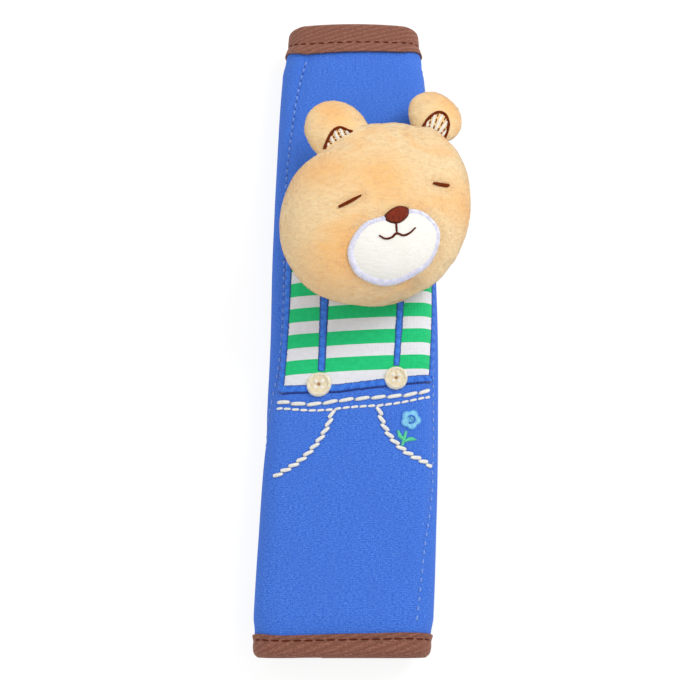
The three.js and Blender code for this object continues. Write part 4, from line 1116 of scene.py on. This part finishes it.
def build_panel():
    """The shirt's white cloth, its green stripes and its satin border."""
    bottom, top = panel_line[1:4], panel_line[[0, 4]]
    edges = (lambda sigma: np.interp(sigma, *bottom.T), lambda sigma: np.interp(sigma, *top.T))
    cloth = panel_cloth(*edges, SUNK, PANEL_TOP)
    shirt = piece("shirt", cloth, SHIRT_WHITE, "shirt_white", "striped_panel")
    for i in range(STRIPE_COUNT):
        cloth = panel_cloth(stripe_edge(i, -1), stripe_edge(i, 1), STRIPE_LOW, STRIPE_TOP)
        piece(f"shirt_stripe_{i + 1}", cloth, SHIRT_GREEN, "shirt_green", f"green_stripe_{i + 1}")
    centre = panel_line.mean(axis=0)
    away = panel_line - centre
    line = corners_eased(centre + away + BORDER_OUTSET * np.sign(away), CORNER_CUT)
    band = satin_band(line, BORDER_WIDTH, on_sleeve, SUNK, BORDER_TOP, seed=11)
    piece("satin_border", band, SATIN_BLUE, "satin_blue", "panel_border")


def corners_eased(line, cut):
    """A line whose corners are cut off a little."""
    points = [line[0]]
    for before, here, after in zip(line, line[1:], line[2:]):
        for other in (before, after):
            points.append(here + (other - here) / np.linalg.norm(other - here) * cut)
    return np.array([*points, line[-1]])


def build_suspender(side, seed):
    points, width = SUSPENDERS[side]
    band = satin_band(through(laid_flat(points)), tapered(width, 1.0, SUSPENDER_GROWTH), on_sleeve,
                      SUSPENDER_LOW, SUSPENDER_TOP, seed=seed)
    piece(f"{side}_suspender_satin", band, SATIN_BLUE, "satin_blue", f"{side}_suspender")


def knot(place, radius, sunk, rise):
    """A round knot of thread on a button, its foot sunk below the button's top."""
    def height(x, y, share):
        return BUTTON_TOP - sunk + rise * np.sqrt(1 - share**2)

    return patch(radius, place, on_sleeve, BUTTON_TOP - KNOT_FOOT, height, rings=5, sides=14)


def build_button(side, seed):
    """A round embroidered button: a satin rim, a filled face, four knots and a dark middle."""
    place, radius = BUTTONS[side]
    centre = laid_flat([place])[0]
    name = f"{side}_button"
    rim = radius * RIM_SHARE
    line = through(ring_points(centre, radius - rim / 2, around(24)), closed=True)
    band = satin_band(line, rim, on_sleeve, BUTTON_LOW, BUTTON_TOP, closed=True, seed=seed)
    piece(f"{name}_rim", band, BUTTON_RIM, "button_cream", name)

    def strands(x, y, share):
        height, step = FACE_STRAND
        return BUTTON_TOP - FACE_SUNK + height * np.cos(2 * math.pi * (x + y) / step)

    filling = patch(radius - rim * RIM_OVERLAP, centre, on_sleeve, BUTTON_LOW, strands)
    piece(f"{name}_face", filling, BUTTON_CREAM, "button_cream")
    spots = ring_points(centre, radius * KNOT_PLACE, math.pi / 4 + around(4))
    knots = joined([knot(spot, radius * KNOT_SHARE, FACE_SUNK, KNOT_RISE) for spot in spots])
    piece(f"{name}_knots", knots, CREAM_THREAD, "cream_thread")
    dark = knot(centre, radius * MIDDLE_SHARE, MIDDLE_SUNK, MIDDLE_RISE)
    piece(f"{name}_middle", dark, BUTTON_BROWN, "nose_brown", f"{name}_centre")


def build_flower():
    """Satin petals round a curl of darker thread, on a stem with two leaves."""
    centre = laid_flat([FLOWER])[0]

    def petals(angle):
        swell = PETAL_SWELL * np.abs(np.cos(PETALS / 2 * angle + PETAL_TURN))
        return FLOWER_RADIUS * (PETAL_REACH + swell)

    def height(x, y, share):
        angle = np.arctan2(y - centre[1], x - centre[0])
        return THREAD_TOP * (1 - PETAL_DROOP * share**3) + RIDGE_HEIGHT * np.cos(angle * RIDGES)

    bloom = patch(petals, centre, on_sleeve, SUNK, height, rings=10, sides=160)
    piece("blossom", bloom, FLOWER_BLUE, "flower_blue", "flower_blossom")
    curl = through(ring_points(centre, CURL_REACH, np.linspace(*CURL_ANGLES, 14)))
    band = satin_band(curl, CURL_WIDTH, on_sleeve, CURL_LOW, CURL_TOP, seed=31)
    piece("blossom_curl", band, SATIN_BLUE, "satin_blue", "flower_centre")
    for name, (points, width, narrow) in FLOWER_GREEN.items():
        band = satin_band(through(laid_flat(points)), tapered(width, narrow), on_sleeve, SUNK,
                          THREAD_TOP, seed=len(name))
        piece(f"{name}_satin", band, LEAF_GREEN, "leaf_green", f"flower_{name}")


def build_stitch_rows():
    """The pale rows of the waistband and pockets, and the topstitching with dark dots of painted
    shade at its needle holes.
    """
    for name, (points, size, _) in STITCH_ROWS.items():
        threads = stitches(through(laid_flat(points)), on_sleeve, *size)
        piece(f"{name}_threads", threads, CREAM_THREAD, "cream_thread", f"{name}_stitches")
    half = TOPSTITCH_PITCH / 2
    for side, line in topstitches.items():
        threads = stitches(line, on_sleeve, TOPSTITCH_PITCH, *TOPSTITCH_SIZE)
        piece(f"{side}_topstitching", threads, TOPSTITCH_THREAD, "jersey")
        shifted = at_distance(line, np.linspace(half, measured(line)[-1] + half, SHIFTED_POINTS))
        # Dark dots between the stitches: painted shade for the needle holes.
        hole_shades = stitches(shifted, on_sleeve, TOPSTITCH_PITCH, *HOLE_SHADE_SIZE)
        piece(f"{side}_needle_hole_shade", hole_shades, HOLE_SHADE, "jersey")


build_cover()
build_inside()
for end_name, binding in BINDINGS.items():
    build_binding(end_name, binding)
build_fasteners()
build_panel()
build_suspender("left", 21)
build_suspender("right", 22)
build_button("left", 23)
build_button("right", 24)
build_flower()
build_stitch_rows()

# Head

HEAD_AXES = np.array(
    Euler((0, math.radians(HEAD_TURN), math.radians(HEAD_ROLL)), "XYZ").to_matrix()
)
HULL_SIDES = 64
HULL_RINGS = 25
EAR_SIDES = 32
EAR_RINGS = 13
COARSE_VOXEL = 4.0
FINE_VOXEL = 1.0
SMOOTHING = 8
HEAD_DRAWN = 0.6
EAR_DRAWN = 0.2

# The swelling is simulated at a larger scale, and held where the head rests on the sleeve
SWELL_SCALE = 10.0
SWELL_FRAMES = 20
SWELL_PRESSURE = 3.0
SWELL_CAP = 3.6
HELD_HEIGHT = 2.5
HELD_FADE = 3.0
NEIGHBOURS = 6


def from_head(points):
    """Points in the head's own frame as points in the sleeve's frame."""
    return np.asarray(points) @ HEAD_AXES.T + HEAD_PLACE


def in_head(points):
    """Points in metres in the part's frame as millimetres in the head's own frame."""
    return (points / MM - SHIFT - HEAD_PLACE) @ HEAD_AXES


def dome(centre, reach, z, angles):
    """A closed body in the head's frame, from the reach and z of rings that end in a point."""
    spots = ring_points(centre, reach, angles)
    z = np.broadcast_to(z[..., None], (*spots.shape[:2], 1))
    grid = from_head(np.concatenate([spots, z], -1))
    points = np.concatenate([grid[0, :1], grid[1:-1].reshape(-1, 3), grid[-1, :1]])
    return points, dome_faces(len(grid) - 2, len(angles))


def head_hull():
    """The stuffed form before it swells, drawn in from its seam and domes and seated flat."""
    angles = around(HULL_SIDES)
    tilts = np.linspace(0, math.pi, HULL_RINGS)[:, None]
    depth = np.where(np.cos(tilts) >= 0, HEAD_FRONT_DEPTH, HEAD_BACK_DEPTH) - HEAD_DRAWN
    z = np.sign(np.cos(tilts)) * depth * np.abs(np.cos(tilts)) ** DOME_FULLNESS
    reach = (polar(HEAD_OUTLINE, (0.0, 0.0))(angles) - HEAD_DRAWN) * np.sin(tilts)
    points, faces = dome((0, 0), reach, z, angles)
    seat = front_height(points[:, 0], points[:, 1]) + HEAD_SEAT + HEAD_DRAWN
    points[:, 2] = np.maximum(points[:, 2], seat)
    return points, faces


def ear_hull(ear):
    """A flat round cushion set into the head's seam."""
    x, y, radius = ear
    tilts = np.linspace(0, math.pi, EAR_RINGS)[:, None]
    z = EAR_FORWARD + (EAR_DEPTH - EAR_DRAWN / 2) * np.cos(tilts)
    return dome((x, y), (radius - EAR_DRAWN) * np.sin(tilts), z, around(EAR_SIDES))


def per_vertex(mesh, name):
    """The places (co) or the normals (normal) of a mesh's vertices."""
    values = np.zeros(len(mesh.vertices) * 3)
    mesh.vertices.foreach_get(name, values)
    return values.reshape(-1, 3)


def applied(obj):
    """The mesh that an object's modifiers make of it. The object goes."""
    graph = bpy.context.evaluated_depsgraph_get()
    made = bpy.data.meshes.new_from_object(obj.evaluated_get(graph))
    bpy.data.objects.remove(obj)
    return made


def modified(mesh, kind, **settings):
    """A mesh after a modifier of the given kind."""
    obj = linked("modified", mesh)
    modifier = obj.modifiers.new("only", kind)
    for name, value in settings.items():
        setattr(modifier, name, value)
    return applied(obj)


def swelling(mesh, held):
    """The places of a closed mesh, and their moves when it is blown up from inside as cloth."""
    before = per_vertex(mesh, "co")
    mesh.transform(Matrix.Scale(SWELL_SCALE, 4))
    obj = linked("swelling", mesh)
    group = obj.vertex_groups.new(name="held")
    for index in np.nonzero(held)[0]:
        group.add([int(index)], float(held[index]), "REPLACE")
    cloth = obj.modifiers.new("cloth", "CLOTH")
    cloth.settings.use_pressure = True
    cloth.settings.uniform_pressure_force = SWELL_PRESSURE
    cloth.settings.effector_weights.gravity = 0.0
    cloth.settings.vertex_group_mass = "held"
    cloth.point_cache.frame_start = 1
    cloth.point_cache.frame_end = SWELL_FRAMES
    for step in range(1, SWELL_FRAMES + 1):
        bpy.context.scene.frame_set(step)
    move = per_vertex(applied(obj), "co") / SWELL_SCALE - before
    bpy.context.scene.frame_set(1)
    far = np.linalg.norm(move, axis=1, keepdims=True)
    return before, move * np.minimum(1, SWELL_CAP * MM / np.maximum(far, 1e-9))


def carried(points, places, moves):
    """Points moved as the places near them move."""
    tree = KDTree(len(places))
    for index, place in enumerate(places):
        tree.insert(place, index)
    tree.balance()
    moved = points.copy()
    for k, point in enumerate(points):
        near = tree.find_n(point, NEIGHBOURS)
        share = np.array([1 / (distance + MM) ** 2 for _, _, distance in near])
        moved[k] += share @ moves[[index for _, index, _ in near]] / share.sum()
    return moved


def stuffed_head():
    """The head and ears as one even mesh, swollen by its stuffing, in metres in the part's frame."""
    hull = mesh_of("head_hull", *joined([head_hull(), *map(ear_hull, EARS.values())]))
    fine = modified(hull, "REMESH", mode="VOXEL", voxel_size=FINE_VOXEL * MM)
    fine = modified(fine, "SMOOTH", factor=0.5, iterations=SMOOTHING)
    coarse = modified(hull, "REMESH", mode="VOXEL", voxel_size=COARSE_VOXEL * MM)
    at = per_vertex(coarse, "co") / MM - SHIFT
    above = at[:, 2] - front_height(at[:, 0], at[:, 1])
    held = np.clip(1 - (above - HELD_HEIGHT) / HELD_FADE, 0, 1)
    moved = carried(per_vertex(fine, "co"), *swelling(coarse, held))
    fine.vertices.foreach_set("co", moved.ravel())
    return fine


class HeightField:
    """The head's front as heights above its own plane, with smooth normals."""

    STEP = 0.8
    X = np.arange(-46.0, 56.0, STEP)
    Y = np.arange(-46.0, 62.0, STEP)
    ABOVE = 60.0

    def __init__(self, mesh):
        tree = BVHTree.FromPolygons(
            [v.co[:] for v in mesh.vertices], [p.vertices[:] for p in mesh.polygons]
        )
        down = Vector(-HEAD_AXES[:, 2])
        self.z = np.zeros((len(self.X), len(self.Y)))
        for i, x in enumerate(self.X):
            for j, y in enumerate(self.Y):
                start = Vector(to_frame(from_head((x, y, self.ABOVE))))
                hit = tree.ray_cast(start, down)[0]
                if hit is not None:
                    self.z[i, j] = self.ABOVE - (hit - start).length / MM
        self.slope_x, self.slope_y = np.gradient(self.z, self.STEP)

    def read(self, field, x, y):
        i = np.clip((x - self.X[0]) / self.STEP, 0, len(self.X) - 1.001)
        j = np.clip((y - self.Y[0]) / self.STEP, 0, len(self.Y) - 1.001)
        a, b = i.astype(int), j.astype(int)
        p, q = i - a, j - b
        low = field[a, b] * (1 - p) + field[a + 1, b] * p
        high = field[a, b + 1] * (1 - p) + field[a + 1, b + 1] * p
        return low * (1 - q) + high * q

    def point(self, x, y, h):
        """A place on the face, from its x and y and a height above the plush."""
        x, y, h = np.broadcast_arrays(*(np.asarray(a, float) for a in (x, y, h)))
        slopes = [-self.read(slope, x, y) for slope in (self.slope_x, self.slope_y)]
        normal = np.stack([*slopes, np.ones(x.shape)], -1)
        normal /= np.linalg.norm(normal, axis=-1, keepdims=True)
        return from_head(np.stack([x, y, self.read(self.z, x, y)], -1) + normal * h[..., None])


head_mesh = stuffed_head()
face = HeightField(head_mesh)

# Plush: its nap, its warmer patches as places and reaches, the dimples in it and its fibres
NAP_HEIGHT = 0.14
NAP_SCALE = np.array([0.9, 1.6, 1.2])
FINE_NAP_SCALE = 2.7
FINE_NAP_SHARE = 0.5
WARM_PATCHES = [
    ((-3, 3), 13), ((-27, 12), 11), ((-24, -27), 13), ((33, -6), 10), ((-12, 42), 9), ((40, 46), 8),
]
DIMPLES = [
    (through(LEFT_EYE), 0.9, 1.8),
    (through(RIGHT_EYE), 0.9, 1.8),
    (through(MUZZLE_OUTLINE, closed=True), 0.7, 2.2),
]
DIMPLES_ABOVE = 4.0
# The seam: its sunk depth, the width of the crease and of the shade painted along it, and the reach
# and height that bound it
SEAM_DEPTH = 0.4
SEAM_WIDTH = 0.8
SEAM_INSIDE = 28.0
SEAM_TOP = 10.0
FIBRES = 90000
FIBRE_LENGTH = 1.0
FIBRE_WIDTH = 0.16
FIBRE_TILT = 0.09
COMBED = (-0.9, -0.5, 0.0)
UNCOMBED = 0.3
NAP_CLEARANCE = 1.0
BARE_ROUND_MUZZLE = 0.4
BARE_ROUND_NOSE = 6.5
BARE_ROUND_EYE = 1.5
MUZZLE_REACH = polar(MUZZLE_OUTLINE, MUZZLE_CENTRE)


def plush_lay(flat, tip):
    """What the plush's finish reads: the share along a fibre, which paints a highlight on the tips,
    the warmth, and the seam, along which shade is painted.
    """
    x, y, z = flat.T
    warm = sum(bell(np.hypot(x - px, y - py), reach) for (px, py), reach in WARM_PATCHES)
    seam = bell(z, SEAM_WIDTH) * (np.hypot(x, y) > SEAM_INSIDE) * (y < SEAM_TOP)
    return np.stack([np.broadcast_to(tip, warm.shape), np.clip(warm, 0, 1), seam], -1)


def build_head():
    """The plush over the stuffing, with its nap and the dimples that the embroidery draws in it."""
    points = per_vertex(head_mesh, "co")
    flat = in_head(points)
    height = NAP_HEIGHT * np.array([
        noise.noise(p * NAP_SCALE) + FINE_NAP_SHARE * noise.noise(p * FINE_NAP_SCALE)
        for p in points / MM
    ])
    for line, depth, reach in DIMPLES:
        dimple = depth * bell(distance_to(line, flat[:, 0], flat[:, 1]), reach)
        height -= (flat[:, 2] > DIMPLES_ABOVE) * dimple
    lay = plush_lay(flat, 0.0)
    out = (height - SEAM_DEPTH * lay[:, 2]) * MM
    points = points + per_vertex(head_mesh, "normal") * out[:, None]
    shape = (points / MM - SHIFT, [p.vertices[:] for p in head_mesh.polygons], lay)
    nodes = ["head_front_cover", "head_back_cover", "head_stuffing"]
    nodes += [f"{side}_ear_{part}" for side in EARS for part in ("front", "back", "stuffing")]
    piece("plush_head", shape, PLUSH_TAN, "plush", *nodes)


def round_muzzle(x, y):
    """The distance from the muzzle's centre, and how far the muzzle reaches that way."""
    dx, dy = x - MUZZLE_CENTRE[0], y - MUZZLE_CENTRE[1]
    return np.hypot(dx, dy), MUZZLE_REACH(np.arctan2(dy, dx))


def bare(flat):
    """Where embroidery or the muzzle leaves no plush fibres standing."""
    x, y, z = flat.T
    distance, reach = round_muzzle(x, y)
    covered = distance < reach + BARE_ROUND_MUZZLE
    covered |= np.hypot(x - NOSE_CENTRE[0], y - NOSE_CENTRE[1]) < BARE_ROUND_NOSE
    for line in (LEFT_EYE, RIGHT_EYE):
        covered |= distance_to(through(line), x, y) < BARE_ROUND_EYE
    for place in MOTIF_PLACES.values():
        covered |= np.hypot(x - place[0], y - place[1] + MOTIF_DROP) < MOTIF_REACH
    return covered & (z > 0)


def build_nap():
    """Short fibres that stand a little off the plush, each a slim triangle."""
    rng = np.random.default_rng(7)
    chosen = rng.integers(0, len(head_mesh.vertices), FIBRES)
    normal = per_vertex(head_mesh, "normal")[chosen]
    root = per_vertex(head_mesh, "co")[chosen] / MM - SHIFT
    lean = HEAD_AXES @ COMBED + UNCOMBED * rng.standard_normal((FIBRES, 3))
    lean -= normal * np.sum(lean * normal, axis=1, keepdims=True)
    lean /= np.linalg.norm(lean, axis=1, keepdims=True)
    aside = np.cross(normal, lean)

    def chance(low, high):
        return rng.uniform(low, high, (FIBRES, 1))

    root = root + (lean * chance(-0.5, 0.5) + aside * chance(-0.5, 0.5)) * FINE_VOXEL
    tilt = FIBRE_TILT * chance(0.5, 1.5)
    length = FIBRE_LENGTH * chance(0.6, 1.2)
    tip = root + (lean * np.cos(tilt) + normal * np.sin(tilt)) * length
    flat = in_head(to_frame(root))
    keep = ~bare(flat) & (root[:, 2] > front_height(root[:, 0], root[:, 1]) + NAP_CLEARANCE)
    root, tip, aside, flat, normal = (a[keep] for a in (root, tip, aside, flat, normal))
    half = aside * FIBRE_WIDTH / 2
    points = np.stack([root + half, root - half, tip], 1).reshape(-1, 3)
    lay = np.stack([plush_lay(flat, share) for share in (0.0, 0.0, 1.0)], 1)
    mesh = bpy.data.meshes.new("plush_nap")
    faces = np.arange(len(points)).reshape(-1, 3).tolist()
    mesh.from_pydata(to_frame(points).tolist(), [], faces)
    mesh.normals_split_custom_set_from_vertices(np.repeat(normal, 3, axis=0).tolist())
    dressed("plush_nap", mesh, lay, PLUSH_TAN, "plush")


# Muzzle and face: how far the muzzle's cloth ends inside its outline, and heights above the plush
MUZZLE_INSET = MUZZLE_BORDER_WIDTH * 0.6
MUZZLE_SUNK = -0.6
MUZZLE_LIFT = 0.5
MUZZLE_FULLNESS = 0.8
MUZZLE_LOWEST = 0.6
MUZZLE_EDGE = (-0.5, 1.2)
NOSE_SUNK = -1.2
NOSE_PUFF = 1.5
NOSE_RIDGE = (0.06, 0.45)
FACE_LINE = (-0.4, 0.7)
LINE_ENDS = 0.6


def muzzle_height(x, y, share):
    return MUZZLE_LIFT + MUZZLE_PUFF * (1 - share**2) ** MUZZLE_FULLNESS


def on_muzzle(x, y, h):
    """A place above the muzzle's cloth, or above the plush outside it."""
    distance, reach = round_muzzle(x, y)
    share = np.clip(distance / (reach - MUZZLE_INSET), 0, 1)
    return face.point(x, y, np.maximum(muzzle_height(x, y, share), MUZZLE_LOWEST) + h)


def build_muzzle():
    """The muzzle's pale plush and the satin border round it."""
    cloth = patch(lambda angle: MUZZLE_REACH(angle) - MUZZLE_INSET, MUZZLE_CENTRE,
                  face.point, MUZZLE_SUNK, muzzle_height, rings=24, sides=120)
    piece("muzzle", cloth, PLUSH_WHITE, "muzzle_cloth", "muzzle_patch")
    angles = around(60)
    line = ring_points(MUZZLE_CENTRE, MUZZLE_REACH(angles) - MUZZLE_BORDER_WIDTH / 2, angles)
    band = satin_band(through(line, closed=True), MUZZLE_BORDER_WIDTH, face.point, *MUZZLE_EDGE,
                      closed=True, seed=41)
    piece("muzzle_edge", band, LILAC_SATIN, "muzzle_satin", "muzzle_border")


def build_face():
    """The nose, and the lines of the mouth and the closed eyes."""
    def nose_height(x, y, share):
        height, step = NOSE_RIDGE
        return NOSE_PUFF * (1 - share**2) ** 0.5 + height * np.cos(2 * math.pi * y / step)

    nose = patch(polar(NOSE_OUTLINE, NOSE_CENTRE), NOSE_CENTRE, on_muzzle, NOSE_SUNK, nose_height,
                 rings=20, sides=96)
    piece("nose_satin", nose, NOSE_BROWN, "nose_brown", "nose")
    for name, points, width, growth, surface, node, finish in (
        ("mouth_thread", MOUTH_LINE, 1.0, 0.0, on_muzzle, "mouth_line", DARK_THREAD),
        ("mouth_stem_thread", MOUTH_STEM, 1.0, 0.0, on_muzzle, "mouth_stem", DARK_THREAD),
        ("left_eye_thread", LEFT_EYE, 1.3, -0.2, face.point, "left_eye", BROWN_THREAD),
        ("right_eye_thread", RIGHT_EYE, 1.5, 0.5, face.point, "right_eye", BROWN_THREAD),
    ):
        band = satin_band(through(points), tapered(width, LINE_ENDS, growth), surface, *FACE_LINE,
                          seed=len(name))
        piece(name, band, finish, "dark_thread", node)


# The ears' motifs: pale slats between dark ticks, which lie in rows between shares of the way down
SLATS = 5
SLAT_START = 0.9
SLAT_WIDTH = 1.2
SLAT_SPAN = (0.1, 0.96)
SLAT_TOP = 0.4
TICK_START = 0.4
TICK_WIDTH = 0.62
TICK_ROWS = ((0.08, 0.27), (0.4, 0.62), (0.76, 0.97))
TICK_TOP = 0.45
ARCH_WIDTH = 1.35
ARCH_TOP = 0.9
MOTIF_STEPS = SLATS + 0.8
MOTIF_SUNK = -0.3


def teeth(arch, shares, width, span, high, seed):
    """Short bands of thread below an arch, each over a span of the way down to its feet."""
    bands = []
    for at in shares:
        top = at_distance(arch, at * measured(arch)[-1])
        drop = arch[0] + (arch[-1] - arch[0]) * at - top
        line = np.linspace(top + drop * span[0], top + drop * span[1], 8)
        bands.append(satin_band(line, width, face.point, MOTIF_SUNK, high, seed=seed))
    return joined(bands)


def build_ear_motif(side):
    """A brown arch over a comb of pale threads with dark ones between them."""
    arch = through(np.array(ARCHES[side]) + MOTIF_PLACES[side])
    middles = (np.arange(SLATS) + SLAT_START) / MOTIF_STEPS
    gaps = (np.arange(SLATS + 1) + TICK_START) / MOTIF_STEPS
    pale = teeth(arch, middles, SLAT_WIDTH, SLAT_SPAN, SLAT_TOP, 52)
    piece(f"{side}_ear_slats", pale, CREAM_THREAD, "cream_thread", f"{side}_ear_lattice")
    dark = joined([teeth(arch, gaps, TICK_WIDTH, row, TICK_TOP, 53) for row in TICK_ROWS])
    piece(f"{side}_ear_ticks", dark, BROWN_THREAD, "dark_thread")
    band = satin_band(arch, ARCH_WIDTH, face.point, MOTIF_SUNK, ARCH_TOP, seed=51)
    piece(f"{side}_arch_thread", band, BROWN_THREAD, "nose_brown", f"{side}_ear_arch")


build_head()
build_nap()
build_muzzle()
build_face()
for ear_side in EARS:
    build_ear_motif(ear_side)

# Stage, lights and camera, in metres

FLOOR_HALF = 3.0
FLOOR_LEVEL = -0.0002
FLOOR_COLOR = (0.9, 0.9, 0.9, 1)
FLOOR_GLOW = 1.12
FLOOR_GLOW_SHARE = 0.72
WORLD_LIGHT = 0.7
LIGHT_TARGET = (0, 0, 0.02)

# Lights: place, size and power
LIGHTS = {"key": ((0.6, 0.4, 0.75), 0.6, 5.2), "fill": ((-0.6, -0.3, 0.8), 0.8, 1.6)}


def build_floor():
    """White to the camera, and darker in the object's shadow."""
    corners = [(x * FLOOR_HALF, y * FLOOR_HALF, 0) for x, y in ((-1, -1), (1, -1), (1, 1), (-1, 1))]
    mesh = bpy.data.meshes.new("floor")
    mesh.from_pydata(corners, [], [[0, 1, 2, 3]])
    floor = linked("floor", mesh)
    floor.location.z = FLOOR_LEVEL
    material = bpy.data.materials.new("floor_white")
    material.use_nodes = True
    tree = material.node_tree
    tree.nodes.remove(tree.nodes["Principled BSDF"])
    nodes = Nodes(tree)
    seen = nodes.add("LightPath", "Is Camera Ray")
    share = nodes.add("Math", 0, {0: seen, 1: FLOOR_GLOW_SHARE}, operation="MULTIPLY")
    diffuse = nodes.add("BsdfDiffuse", 0, {"Color": FLOOR_COLOR})
    glow = nodes.add("Emission", 0, {"Strength": FLOOR_GLOW})
    surface = nodes.add("MixShader", 0, {0: share, 1: diffuse, 2: glow})
    nodes.feed(tree.nodes["Material Output"].inputs["Surface"], surface)
    mesh.materials.append(material)


def build_world():
    """Soft light from all round, seen as white by the camera."""
    world = bpy.data.worlds.new("studio")
    bpy.context.scene.world = world
    world.use_nodes = True
    nodes = Nodes(world.node_tree)
    rays = [nodes.add("LightPath", kind) for kind in ("Is Camera Ray", "Is Glossy Ray")]
    seen = nodes.add("Math", 0, dict(enumerate(rays)), operation="MAXIMUM")
    values = {"Value": seen, "To Min": WORLD_LIGHT, "To Max": 1.0}
    background = world.node_tree.nodes["Background"].inputs
    nodes.feed(background["Color"], (1, 1, 1, 1))
    nodes.feed(background["Strength"], nodes.add("MapRange", "Result", values))


def aim(obj, place, way):
    obj.location = place
    obj.rotation_euler = way.to_track_quat("-Z", "Y").to_euler()


def build_light(name, place, size, power):
    data = bpy.data.lights.new(name, "AREA")
    data.shape = "DISK"
    data.size = size
    data.energy = power
    aim(linked(name, data), place, Vector(LIGHT_TARGET) - Vector(place))


def build_camera():
    data = bpy.data.cameras.new("camera")
    data.sensor_width = SENSOR
    data.lens = SENSOR * FOCAL_PIXELS / FRAME_PIXELS
    camera = linked("camera", data)
    elevation = math.radians(CAMERA_ELEVATION)
    back = Vector((0, -math.cos(elevation), math.sin(elevation)))
    aim(camera, Vector(to_frame(CAMERA_TARGET)) + back * CAMERA_DISTANCE * MM, -back)
    bpy.context.scene.camera = camera


build_floor()
build_world()
for light_name, light in LIGHTS.items():
    build_light(light_name, *light)
build_camera()
bpy.context.scene.view_settings.view_transform = "Standard"
